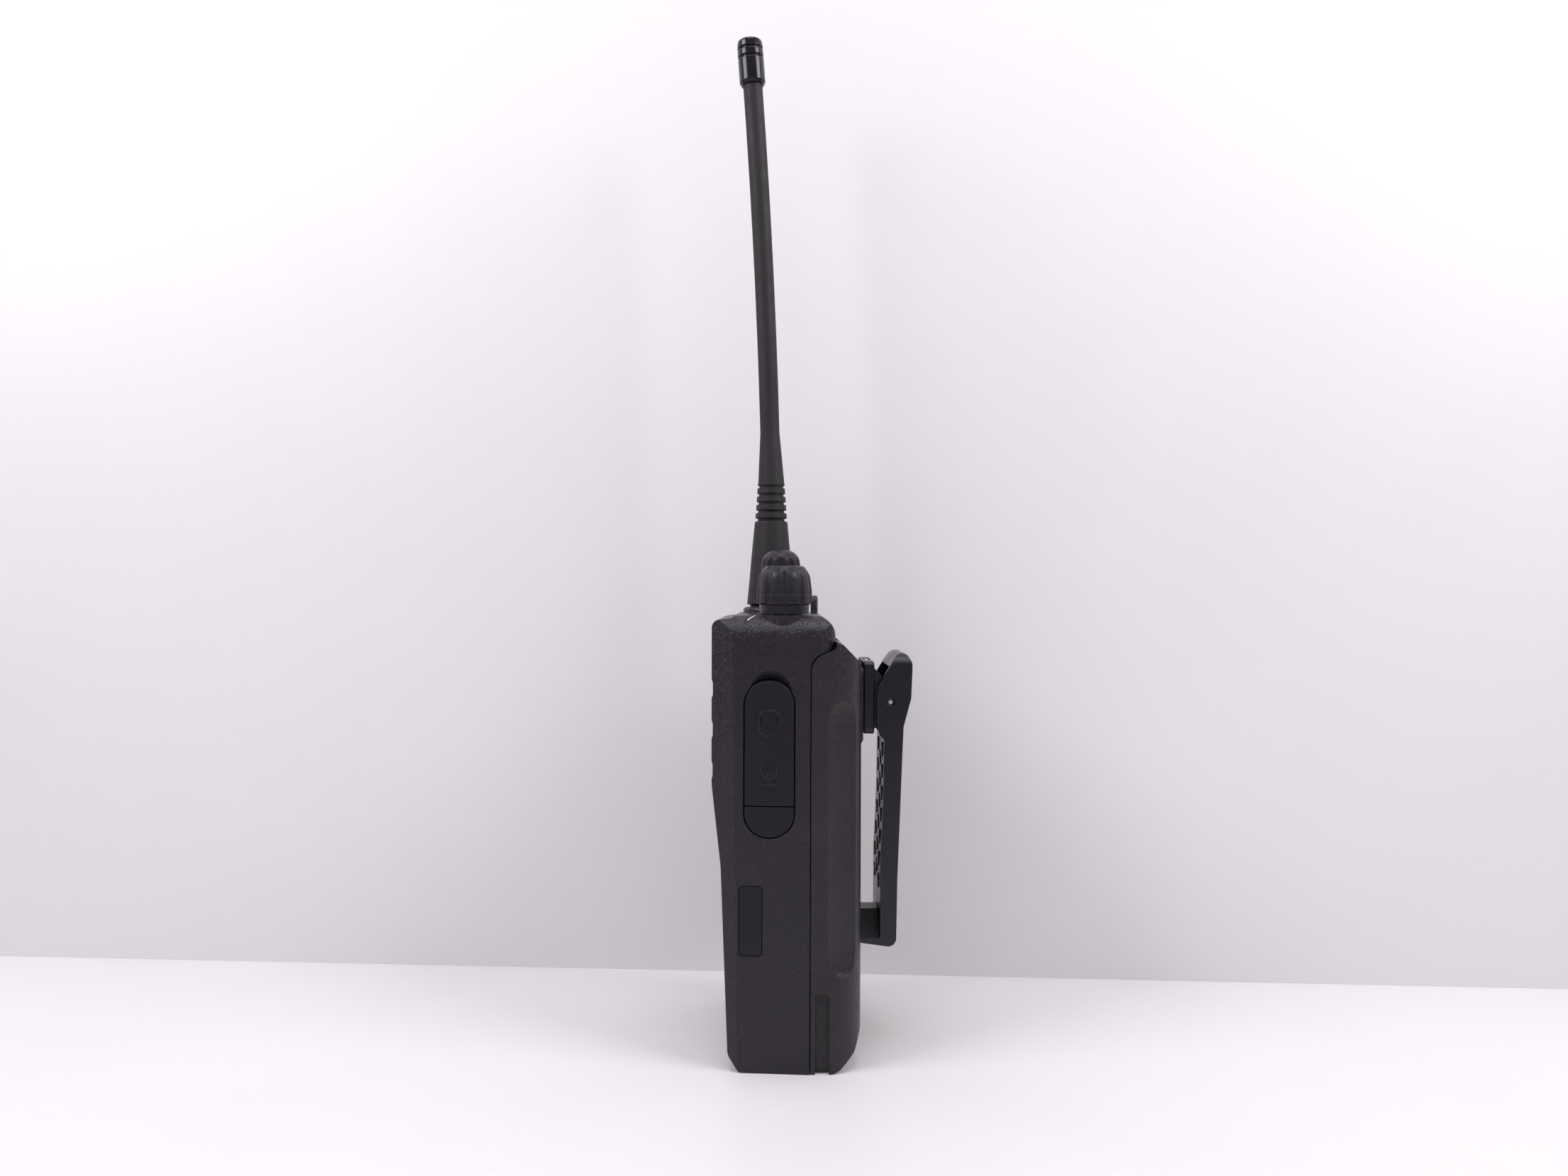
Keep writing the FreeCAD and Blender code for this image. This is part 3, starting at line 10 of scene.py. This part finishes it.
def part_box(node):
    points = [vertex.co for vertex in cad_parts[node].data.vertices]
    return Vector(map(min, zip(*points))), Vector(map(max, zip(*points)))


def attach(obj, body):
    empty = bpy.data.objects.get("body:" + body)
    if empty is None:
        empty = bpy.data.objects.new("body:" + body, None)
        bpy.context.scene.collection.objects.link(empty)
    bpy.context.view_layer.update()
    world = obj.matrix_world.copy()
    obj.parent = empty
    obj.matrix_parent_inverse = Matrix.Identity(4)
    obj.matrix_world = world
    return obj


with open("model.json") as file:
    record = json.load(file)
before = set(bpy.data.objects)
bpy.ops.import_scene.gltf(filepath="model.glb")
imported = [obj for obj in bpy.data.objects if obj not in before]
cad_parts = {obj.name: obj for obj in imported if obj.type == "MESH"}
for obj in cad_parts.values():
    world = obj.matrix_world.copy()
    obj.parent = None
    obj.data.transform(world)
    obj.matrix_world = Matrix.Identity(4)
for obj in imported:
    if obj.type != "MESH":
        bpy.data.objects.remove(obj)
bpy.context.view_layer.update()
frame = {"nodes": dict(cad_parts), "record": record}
NODES = frame["nodes"]
MM = 0.001


# ---------------------------------------------------------------- shader building

class Surface:
    """A procedural material, built node by node."""

    def __init__(self, name):
        self.material = bpy.data.materials.new(name)
        self.material.use_nodes = True
        self.tree = self.material.node_tree
        self.nodes = self.tree.nodes
        self.shader = self.nodes["Principled BSDF"]
        self.place = self.nodes.new("ShaderNodeTexCoord").outputs["Object"]

    def link(self, source, target):
        self.tree.links.new(source, target)

    def set(self, **values):
        """Plain values for shader inputs, named with _ for each space."""
        for key, value in values.items():
            self.shader.inputs[key.replace("_", " ")].default_value = value

    def scaled(self, x, y, z):
        """Object coordinates multiplied axis by axis, for streaks."""
        node = self.nodes.new("ShaderNodeMapping")
        node.inputs["Scale"].default_value = (x, y, z)
        self.link(self.place, node.inputs["Vector"])
        return node.outputs["Vector"]

    def noise(self, size_mm, detail=3.0, vector=None, roughness=0.55):
        """Noise whose features are about the given size."""
        node = self.nodes.new("ShaderNodeTexNoise")
        node.inputs["Scale"].default_value = 1.0 / (size_mm * MM)
        node.inputs["Detail"].default_value = detail
        node.inputs["Roughness"].default_value = roughness
        self.link(vector or self.place, node.inputs["Vector"])
        return node.outputs["Fac"]

    def cells(self, size_mm):
        """Distance to the middle of the nearest cell; cells are about the given size."""
        node = self.nodes.new("ShaderNodeTexVoronoi")
        node.inputs["Scale"].default_value = 1.0 / (size_mm * MM)
        self.link(self.place, node.inputs["Vector"])
        return node.outputs["Distance"]

    def span(self, value, low, high, out_low=0.0, out_high=1.0):
        """Map low..high to out_low..out_high, clamped."""
        node = self.nodes.new("ShaderNodeMapRange")
        for name, number in (("From Min", low), ("From Max", high),
                             ("To Min", out_low), ("To Max", out_high)):
            node.inputs[name].default_value = number
        self.link(value, node.inputs["Value"])
        return node.outputs["Result"]

    def combine(self, first, second, kind="ADD"):
        """Arithmetic on two values; each may be a number or another output."""
        node = self.nodes.new("ShaderNodeMath")
        node.operation = kind
        for slot, value in enumerate((first, second)):
            if isinstance(value, (int, float)):
                node.inputs[slot].default_value = value
            else:
                self.link(value, node.inputs[slot])
        return node.outputs[0]

    def blend(self, fac, first, second):
        """Mix two colours; each may be a colour or another output."""
        node = self.nodes.new("ShaderNodeMix")
        node.data_type = "RGBA"
        self.link(fac, node.inputs["Factor"])
        for socket, value in ((node.inputs[6], first), (node.inputs[7], second)):
            if isinstance(value, tuple):
                socket.default_value = (*value, 1.0)
            else:
                self.link(value, socket)
        return node.outputs[2]

    def axis(self, letter):
        """One object coordinate, in metres."""
        node = self.nodes.new("ShaderNodeSeparateXYZ")
        self.link(self.place, node.inputs[0])
        return node.outputs[letter]

    def tone(self):
        """The output that colours the surface so far."""
        return self.shader.inputs["Base Color"].links[0].from_socket

    def edges(self, reach_mm):
        """Near one where the surface turns sharply within the given reach, zero on flats."""
        ease = self.nodes.new("ShaderNodeBevel")
        ease.samples = 8
        ease.inputs["Radius"].default_value = reach_mm * MM
        geometry = self.nodes.new("ShaderNodeNewGeometry")
        dot = self.nodes.new("ShaderNodeVectorMath")
        dot.operation = "DOT_PRODUCT"
        self.link(ease.outputs["Normal"], dot.inputs[0])
        self.link(geometry.outputs["Normal"], dot.inputs[1])
        return self.span(dot.outputs["Value"], 0.995, 0.90)

    def color(self, output):
        self.link(output, self.shader.inputs["Base Color"])

    def rough(self, output):
        self.link(output, self.shader.inputs["Roughness"])

    def bump(self, height, depth_mm, edge_mm=0.0):
        """Height 0..1 as relief of the given depth, over edges eased by edge_mm."""
        node = self.nodes.new("ShaderNodeBump")
        node.inputs["Distance"].default_value = depth_mm * MM
        node.inputs["Strength"].default_value = 1.0
        self.link(height, node.inputs["Height"])
        if edge_mm:
            ease = self.nodes.new("ShaderNodeBevel")
            ease.samples = 4
            ease.inputs["Radius"].default_value = edge_mm * MM
            self.link(ease.outputs["Normal"], node.inputs["Normal"])
        self.link(node.outputs["Normal"], self.shader.inputs["Normal"])


def grained(name, dark, light, rough, depth, dust):
    """Moulded plastic with a leathery spark-eroded grain, cloudy wear and a little dust."""
    surface = Surface(name)
    grain = surface.noise(0.36, 2.0)
    patches = surface.noise(26.0, 3.0)
    tone = surface.blend(surface.span(patches, 0.35, 0.7), dark, light)
    speck = surface.span(surface.cells(2.6), 0.045, 0.02)
    sparse = surface.span(surface.noise(7.0, 1.0), 0.55, 0.68)
    dusty = surface.combine(surface.combine(speck, sparse, "MULTIPLY"), dust, "MULTIPLY")
    surface.color(surface.blend(dusty, tone, (0.20, 0.195, 0.20)))
    surface.rough(surface.span(surface.noise(5.0, 4.0), 0.3, 0.75, rough - 0.06, rough + 0.08))
    leather = surface.span(surface.cells(0.66), 0.05, 0.5)
    pitted = surface.combine(grain, leather)
    surface.bump(surface.span(pitted, 0.3, 1.5), depth, 0.35)
    surface.set(Specular_IOR_Level=0.4)
    return surface


def paint_edge_highlight(surface, reach_mm, wear_and_highlight):
    """Paint a patchy highlight along the sharp edges of an already coloured surface."""
    plain = surface.tone()
    patchy = surface.span(surface.noise(2.4, 3.0), 0.3, 0.6, 0.35, 1.0)
    # The edge mask, broken into patches, blends in a pale colour: a painted highlight along the edges.
    surface.color(surface.blend(surface.combine(surface.edges(reach_mm), patchy, "MULTIPLY"), plain, wear_and_highlight))
    return surface


def satin(name, dark, light, rough, depth=0.012):
    """Smooth moulded surface with only the slightest unevenness."""
    surface = Surface(name)
    cloud = surface.noise(9.0, 3.0)
    surface.color(surface.blend(surface.span(cloud, 0.3, 0.75), dark, light))
    surface.rough(surface.span(surface.noise(3.0, 4.0), 0.3, 0.75, rough - 0.04, rough + 0.07))
    surface.bump(surface.noise(0.9, 2.0), depth, 0.25)
    surface.set(Specular_IOR_Level=0.3)
    return surface


def metal(name, color, rough, grain_mm=0.3, stretch=(1.0, 1.0, 1.0)):
    """Plated or machined metal with a fine directional grain."""
    surface = Surface(name)
    streaks = surface.noise(grain_mm, 3.0, surface.scaled(*stretch))
    darker = tuple(c * 0.72 for c in color)
    surface.color(surface.blend(surface.span(streaks, 0.3, 0.7), darker, color))
    surface.rough(surface.span(streaks, 0.25, 0.8, rough - 0.05, rough + 0.12))
    surface.set(Metallic=1.0)
    surface.bump(streaks, 0.006, 0.1)
    return surface


# ---------------------------------------------------------------- the radio's own surfaces

def knob_surface():
    """Knob moulding with a fine parting line around its flutes."""
    parting_level = 133.4 * MM
    square_mm = 1.0 / (MM * MM)
    surface = satin("knob_rubber", (0.0140, 0.0112, 0.0180), (0.0190, 0.0155, 0.0240), 0.34, 0.01)
    plain = surface.tone()
    away = surface.combine(surface.axis("Z"), parting_level, "SUBTRACT")
    squared = surface.combine(surface.combine(away, away, "MULTIPLY"), square_mm, "MULTIPLY")
    line = surface.span(squared, 0.012, 0.002)
    surface.color(surface.blend(line, plain, (0.045, 0.045, 0.05)))
    return surface


def antenna_surface():
    """Rubber over-mould with streaks running up the whip."""
    surface = Surface("antenna_rubber")
    streaks = surface.noise(2.2, 4.0, surface.scaled(1.0, 1.0, 0.12))
    surface.color(surface.blend(surface.span(streaks, 0.3, 0.75),
                                (0.0125, 0.0104, 0.0128), (0.0170, 0.0143, 0.0175)))
    surface.rough(surface.span(surface.noise(4.0, 4.0), 0.3, 0.7, 0.52, 0.66))
    surface.bump(surface.noise(0.7, 2.0), 0.02, 0.2)
    surface.set(Specular_IOR_Level=0.38)
    return surface


def gloss_surface():
    """Polished black end cap with finger smears."""
    surface = Surface("cap_gloss")
    smear = surface.noise(3.0, 4.0)
    surface.color(surface.blend(surface.span(smear, 0.3, 0.7),
                                (0.0035, 0.0030, 0.0050), (0.0060, 0.0055, 0.0085)))
    surface.rough(surface.span(smear, 0.3, 0.8, 0.15, 0.28))
    surface.set(Specular_IOR_Level=0.3, Coat_Weight=0.12, Coat_Roughness=0.08)
    surface.bump(surface.noise(1.4, 2.0), 0.006, 0.2)
    return surface


def clip_surface():
    """Smooth clip moulding, grained on its thumb end."""
    surface = Surface("clip_plastic")
    cloud = surface.noise(11.0, 3.0)
    surface.color(surface.blend(surface.span(cloud, 0.3, 0.7),
                                (0.0055, 0.0048, 0.0095), (0.0085, 0.0074, 0.0135)))
    thumb_end = surface.span(surface.axis("Z"), 100 * MM, 112 * MM)
    amount = surface.span(thumb_end, 0, 1, 0.25, 1.0)
    grain = surface.combine(surface.noise(0.55, 2.0), amount, "MULTIPLY")
    surface.rough(surface.span(surface.noise(4.0, 3.0), 0.3, 0.7, 0.22, 0.32))
    surface.bump(grain, 0.03, 0.3)
    surface.set(Specular_IOR_Level=0.4)
    return surface


def board_surface():
    """Green solder mask with a lighter network of tracks."""
    surface = Surface("board")
    line = surface.span(surface.cells(1.6), 0.42, 0.5)
    surface.color(surface.blend(line, (0.008, 0.075, 0.03), (0.03, 0.17, 0.06)))
    surface.rough(surface.span(surface.noise(2.0), 0.3, 0.7, 0.3, 0.45))
    surface.bump(line, 0.02)
    return surface


def cloth_surface():
    """Dull black weave of the grille cloth and the cone."""
    surface = Surface("cone_paper")
    weave = surface.cells(0.5)
    surface.color(surface.blend(surface.span(weave, 0.1, 0.5),
                                (0.004, 0.004, 0.004), (0.02, 0.02, 0.02)))
    surface.rough(surface.span(weave, 0, 1, 0.8, 0.95))
    surface.bump(weave, 0.08)
    return surface


def painted_surface(name, light, dark, rough):
    """Pale paint or plastic, with wear in small spots."""
    surface = Surface(name)
    wear_and_highlight = surface.noise(0.8, 4.0)
    surface.color(surface.blend(surface.span(wear_and_highlight, 0.25, 0.45), dark, light))
    surface.rough(surface.span(wear_and_highlight, 0.3, 0.7, rough, rough + 0.15))
    surface.bump(wear_and_highlight, 0.01, 0.1)
    return surface


def index_surface():
    """White paint along the middle of the index groove; its sides and outer end are bare."""
    surface = painted_surface("white_paint", (0.78, 0.78, 0.76), (0.35, 0.35, 0.34), 0.5)
    paint = surface.tone()
    turn = math.radians(37.8)
    east = surface.combine(surface.axis("X"), 26.0 * MM, "SUBTRACT")
    north = surface.combine(surface.axis("Y"), 9.75 * MM)
    across = surface.combine(surface.combine(east, math.sin(turn), "MULTIPLY"),
                             surface.combine(north, math.cos(turn), "MULTIPLY"))
    across = surface.combine(across, 0, "ABSOLUTE")
    along = surface.combine(surface.combine(east, math.cos(turn), "MULTIPLY"),
                            surface.combine(north, math.sin(turn), "MULTIPLY"), "SUBTRACT")
    bare = surface.combine(surface.span(across, 0.14 * MM, 0.20 * MM),
                           surface.span(along, 0.7 * MM, 1.1 * MM), "MAXIMUM")
    surface.color(surface.blend(bare, paint, (0.014, 0.011, 0.015)))
    return surface


def lens_surface():
    """Frosted pale lens of the status light."""
    surface = Surface("light_lens")
    frost = surface.noise(0.5, 3.0)
    surface.color(surface.blend(surface.span(frost, 0.3, 0.7), (0.55, 0.62, 0.55), (0.7, 0.75, 0.7)))
    surface.rough(surface.span(frost, 0.3, 0.7, 0.2, 0.4))
    surface.set(Transmission_Weight=0.6)
    surface.bump(frost, 0.01, 0.1)
    return surface


SURFACES = {
    "housing_plastic": grained("housing_plastic", (0.0112, 0.0088, 0.0126),
                               (0.0150, 0.0117, 0.0165), 0.31, 0.115, 0.8),
    "battery_plastic": grained("battery_plastic", (0.0145, 0.0117, 0.0160),
                               (0.0190, 0.0154, 0.0205), 0.34, 0.100, 0.7),
    # The cover's edges carry a patchy painted highlight.
    "cover_rubber": paint_edge_highlight(satin("cover_rubber", (0.0055, 0.0046, 0.0095),
                                    (0.0080, 0.0068, 0.0125), 0.44), 0.16, (0.050, 0.048, 0.058)),
    "button_rubber": satin("button_rubber", (0.010, 0.010, 0.011), (0.015, 0.015, 0.016), 0.52),
    "knob_rubber": knob_surface(),
    "antenna_rubber": antenna_surface(),
    "cap_gloss": gloss_surface(),
    "clip_plastic": clip_surface(),
    "tab_plastic": painted_surface("tab_plastic", (0.72, 0.66, 0.52), (0.5, 0.45, 0.34), 0.45),
    "spring_steel": metal("spring_steel", (0.62, 0.61, 0.60), 0.28),
    "nickel_brass": metal("nickel_brass", (0.66, 0.62, 0.52), 0.25, 0.4),
    "gold_contact": metal("gold_contact", (0.90, 0.66, 0.26), 0.25, 0.4),
    "inner_plastic": satin("inner_plastic", (0.012, 0.012, 0.013), (0.02, 0.02, 0.021), 0.55),
    "shaft_metal": metal("shaft_metal", (0.70, 0.70, 0.71), 0.3, 0.3, (1.0, 1.0, 6.0)),
    "die_cast": metal("die_cast", (0.50, 0.50, 0.51), 0.48, 0.5),
    "seal_rubber": satin("seal_rubber", (0.02, 0.02, 0.02), (0.03, 0.03, 0.03), 0.7),
    "board": board_surface(),
    "shield_can": metal("shield_can", (0.72, 0.71, 0.69), 0.3, 0.6, (1.0, 1.0, 4.0)),
    "chip": satin("chip", (0.008, 0.008, 0.008), (0.014, 0.014, 0.014), 0.6),
    "cone_paper": cloth_surface(),
    "magnet": metal("magnet", (0.45, 0.45, 0.46), 0.4),
    "light_lens": lens_surface(),
    "white_paint": index_surface(),
    "plate_satin": metal("plate_satin", (0.07, 0.07, 0.075), 0.34, 0.4, (0.1, 1.0, 1.0)),
    "cell_wrap": satin("cell_wrap", (0.02, 0.045, 0.15), (0.03, 0.06, 0.2), 0.35),
    "core_wire": metal("core_wire", (0.5, 0.5, 0.5), 0.35),
}


def dress_nodes():
    """Each CAD node takes the surface of its record slot."""
    for part in frame["record"]["subparts"]:
        thing = NODES[part["node"]]
        thing.data.materials.clear()
        thing.data.materials.append(SURFACES[part["material_slot"]].material)


dress_nodes()


# ---------------------------------------------------------------- small visual pieces

def add_mesh(name, mesh_builder, slot, body):
    """Make an object from a bmesh builder and hang it on a CAD body."""
    data = bpy.data.meshes.new(name)
    work = bmesh.new()
    mesh_builder(work)
    bmesh.ops.recalc_face_normals(work, faces=work.faces)
    work.to_mesh(data)
    work.free()
    thing = bpy.data.objects.new(name, data)
    bpy.context.scene.collection.objects.link(thing)
    data.materials.append(SURFACES[slot].material)
    for face in data.polygons:
        face.use_smooth = True
    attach(thing, body)


def join_loops(work, loops):
    """Close a tube of quads around four loops of points."""
    steps = len(loops[0])
    for a, b in zip(loops, loops[1:] + loops[:1]):
        for k in range(steps):
            n = (k + 1) % steps
            work.faces.new((a[k], a[n], b[n], b[k]))


def ring_mesh(work, centre, outer, inner, thick):
    """Flat washer facing +X, its near side at the centre."""
    steps = 48
    turn = Vector((0, 0, 1)).rotation_difference(Vector((1, 0, 0))).to_matrix()
    loops = []
    for radius, level in ((inner, 0), (outer, 0), (outer, thick), (inner, thick)):
        loop = []
        for k in range(steps):
            angle = 2 * math.pi * k / steps
            local = Vector((radius * math.cos(angle), radius * math.sin(angle), level))
            loop.append(work.verts.new(centre + turn @ local))
        loops.append(loop)
    join_loops(work, loops)


def stud_thread():
    """Helical thread on the antenna stud, seen once the antenna is unscrewed."""
    low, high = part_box("antenna_stud")
    socket_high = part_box("antenna_socket")[1]
    centre = (low + high) / 2
    start = low.z + 0.6 * MM
    end = socket_high.z - 0.3 * MM
    pitch = 1.0 * MM
    root = 3.08 * MM
    per_turn = 32
    steps = int((end - start) / pitch * per_turn)

    def build(work):
        rows = []
        for k in range(steps + 1):
            angle = 2 * math.pi * k / per_turn
            level = start + pitch * k / per_turn
            run_out = min(1.0, min(k, steps - k) / (per_turn / 2))
            crest = (3.10 + 0.15 * run_out) * MM
            row = []
            for radius, lift in ((root, -0.36), (crest, -0.08), (crest, 0.08), (root, 0.36)):
                row.append(work.verts.new((centre.x + radius * math.cos(angle),
                                           centre.y + radius * math.sin(angle),
                                           level + lift * pitch)))
            rows.append(row)
        for a, b in zip(rows, rows[1:]):
            for i in range(4):
                j = (i + 1) % 4
                work.faces.new((a[i], a[j], b[j], b[i]))
        work.faces.new(rows[0])
        work.faces.new(rows[-1])

    add_mesh("stud_thread", build, "nickel_brass", "antenna")


def jack_rings():
    """Bright contact ring just inside the mouth of each accessory jack."""
    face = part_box("accessory_jacks")[1].x
    sunk = 1.6 * MM
    row_y = -4.1 * MM
    for name, level, radius in (("large", 97.0 * MM, 1.8 * MM), ("small", 84.5 * MM, 1.3 * MM)):
        centre = Vector((face - sunk, row_y, level))

        def build(work, centre=centre, radius=radius):
            ring_mesh(work, centre, radius * 1.01, radius * 0.86, 0.5 * MM)

        add_mesh("jack_ring_" + name, build, "nickel_brass", "radio")


def jack_shade_sheet():
    """Flat dark rubber sheet around the accessory jacks, against the inside of the side wall; it stands in
    as painted shade, closing a see-through gap in the housing near the cover.
    """
    low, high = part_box("accessory_jacks")
    middle = (low.y + high.y) / 2
    half = (high.y - low.y) / 2
    inner = half - 0.1 * MM
    outer = half + 1.4 * MM
    back = 26.5 * MM
    front = 26.9 * MM
    steps = 24

    def build(work):
        loops = []
        for radius, depth in ((inner, back), (outer, back), (outer, front), (inner, front)):
            loop = []
            for first, centre in ((0.0, high.z - half), (math.pi, low.z + half)):
                for k in range(steps + 1):
                    angle = first + math.pi * k / steps
                    across = middle + radius * math.cos(angle)
                    level = centre + radius * math.sin(angle)
                    loop.append(work.verts.new((depth, across, level)))
            loops.append(loop)
        join_loops(work, loops)

    # A dark sheet standing in for shade behind a see-through gap.
    add_mesh("jack_shade_sheet", build, "seal_rubber", "radio")


stud_thread()
jack_rings()
jack_shade_sheet()


# ---------------------------------------------------------------- stage

def stage_surface(name, light, dark, rough, relief):
    """Pale board with very faint clouds."""
    surface = Surface(name)
    cloud = surface.noise(160.0, 4.0)
    surface.color(surface.blend(surface.span(cloud, 0.3, 0.7), dark, light))
    surface.rough(surface.span(surface.noise(30.0, 3.0), 0.3, 0.7, rough, rough + 0.1))
    surface.bump(surface.noise(3.0, 3.0), relief)
    return surface


def clear_from_behind(surface):
    """Let a view from behind pass through, so that the wall never hides the object."""
    geometry = surface.nodes.new("ShaderNodeNewGeometry")
    clear = surface.nodes.new("ShaderNodeBsdfTransparent")
    either = surface.nodes.new("ShaderNodeMixShader")
    surface.link(geometry.outputs["Backfacing"], either.inputs[0])
    surface.link(surface.shader.outputs[0], either.inputs[1])
    surface.link(clear.outputs[0], either.inputs[2])
    surface.link(either.outputs[0], surface.nodes["Material Output"].inputs["Surface"])


def plane(name, corners, surface):
    """One flat face."""
    data = bpy.data.meshes.new(name)
    data.from_pydata([tuple(c) for c in corners], [], [(0, 1, 2, 3)])
    thing = bpy.data.objects.new(name, data)
    bpy.context.scene.collection.objects.link(thing)
    data.materials.append(surface.material)


def build_stage():
    """White board floor and a pale wall close behind, turned a few degrees."""
    floor = stage_surface("floor_white", (0.79, 0.775, 0.785), (0.755, 0.74, 0.75), 0.32, 0.01)
    wall = stage_surface("wall_white", (0.785, 0.770, 0.780), (0.76, 0.745, 0.755), 0.5, 0.02)
    clear_from_behind(wall)
    yaw = math.radians(3.1)
    reach = 2.0
    foot = Vector((-0.0565, 0, 0))
    along = Vector((math.sin(yaw), math.cos(yaw), 0))
    left = foot - along * reach
    right = foot + along * reach
    up = Vector((0, 0, 1.4))
    plane("stage_wall", (left, right, right + up, left + up), wall)
    under = -0.1 * MM
    corners = ((-reach, -reach), (reach, -reach), (reach, reach), (-reach, reach))
    plane("stage_floor", [(x, y, under) for x, y in corners], floor)


build_stage()


# ---------------------------------------------------------------- lights and camera

def area_light(name, at, aim, width, height, power):
    """Rectangular lamp pointed at a place; all lamps share one faintly rosy white."""
    data = bpy.data.lights.new(name, "AREA")
    data.shape = "RECTANGLE"
    data.size = width
    data.size_y = height
    data.energy = power
    data.color = (1.0, 0.97, 1.0)
    thing = bpy.data.objects.new(name, data)
    bpy.context.scene.collection.objects.link(thing)
    thing.location = at
    thing.rotation_euler = (Vector(aim) - Vector(at)).to_track_quat("-Z", "Y").to_euler()


def light_scene():
    """Two soft lamps high at the left and right, one overhead, and a dim pale room."""
    middle = (-0.02, 0.0, 0.16)
    area_light("light_left", (0.22, -0.44, 0.50), middle, 0.26, 0.26, 1.95)
    area_light("light_right", (0.22, 0.44, 0.50), middle, 0.26, 0.26, 1.95)
    area_light("light_top", (0.14, 0.0, 0.72), (-0.02, 0.0, 0.10), 0.30, 0.45, 1.3)
    world = bpy.data.worlds.new("soft_room")
    world.use_nodes = True
    background = world.node_tree.nodes["Background"]
    background.inputs["Color"].default_value = (0.965, 0.945, 0.99, 1.0)
    background.inputs["Strength"].default_value = 0.36
    bpy.context.scene.world = world
    bpy.context.scene.view_settings.view_transform = "Standard"


def place_camera():
    """Level camera square to the +X side, at about the height of the antenna's foot."""
    data = bpy.data.cameras.new("camera")
    data.lens = 27.0
    data.sensor_width = 36.0
    camera = bpy.data.objects.new("camera", data)
    bpy.context.scene.collection.objects.link(camera)
    place = Matrix.Translation((0.35775, -0.00015, 0.1354))
    facing = Matrix.Rotation(math.radians(90), 4, "Z") @ Matrix.Rotation(math.radians(90), 4, "X")
    roll = Matrix.Rotation(math.radians(0.2), 4, "Z")
    camera.matrix_world = place @ facing @ roll
    bpy.context.scene.camera = camera


light_scene()
place_camera()


def write_sizes():
    def plain(bounds):
        return [[float(c) for c in corner] for corner in bounds]


write_sizes()
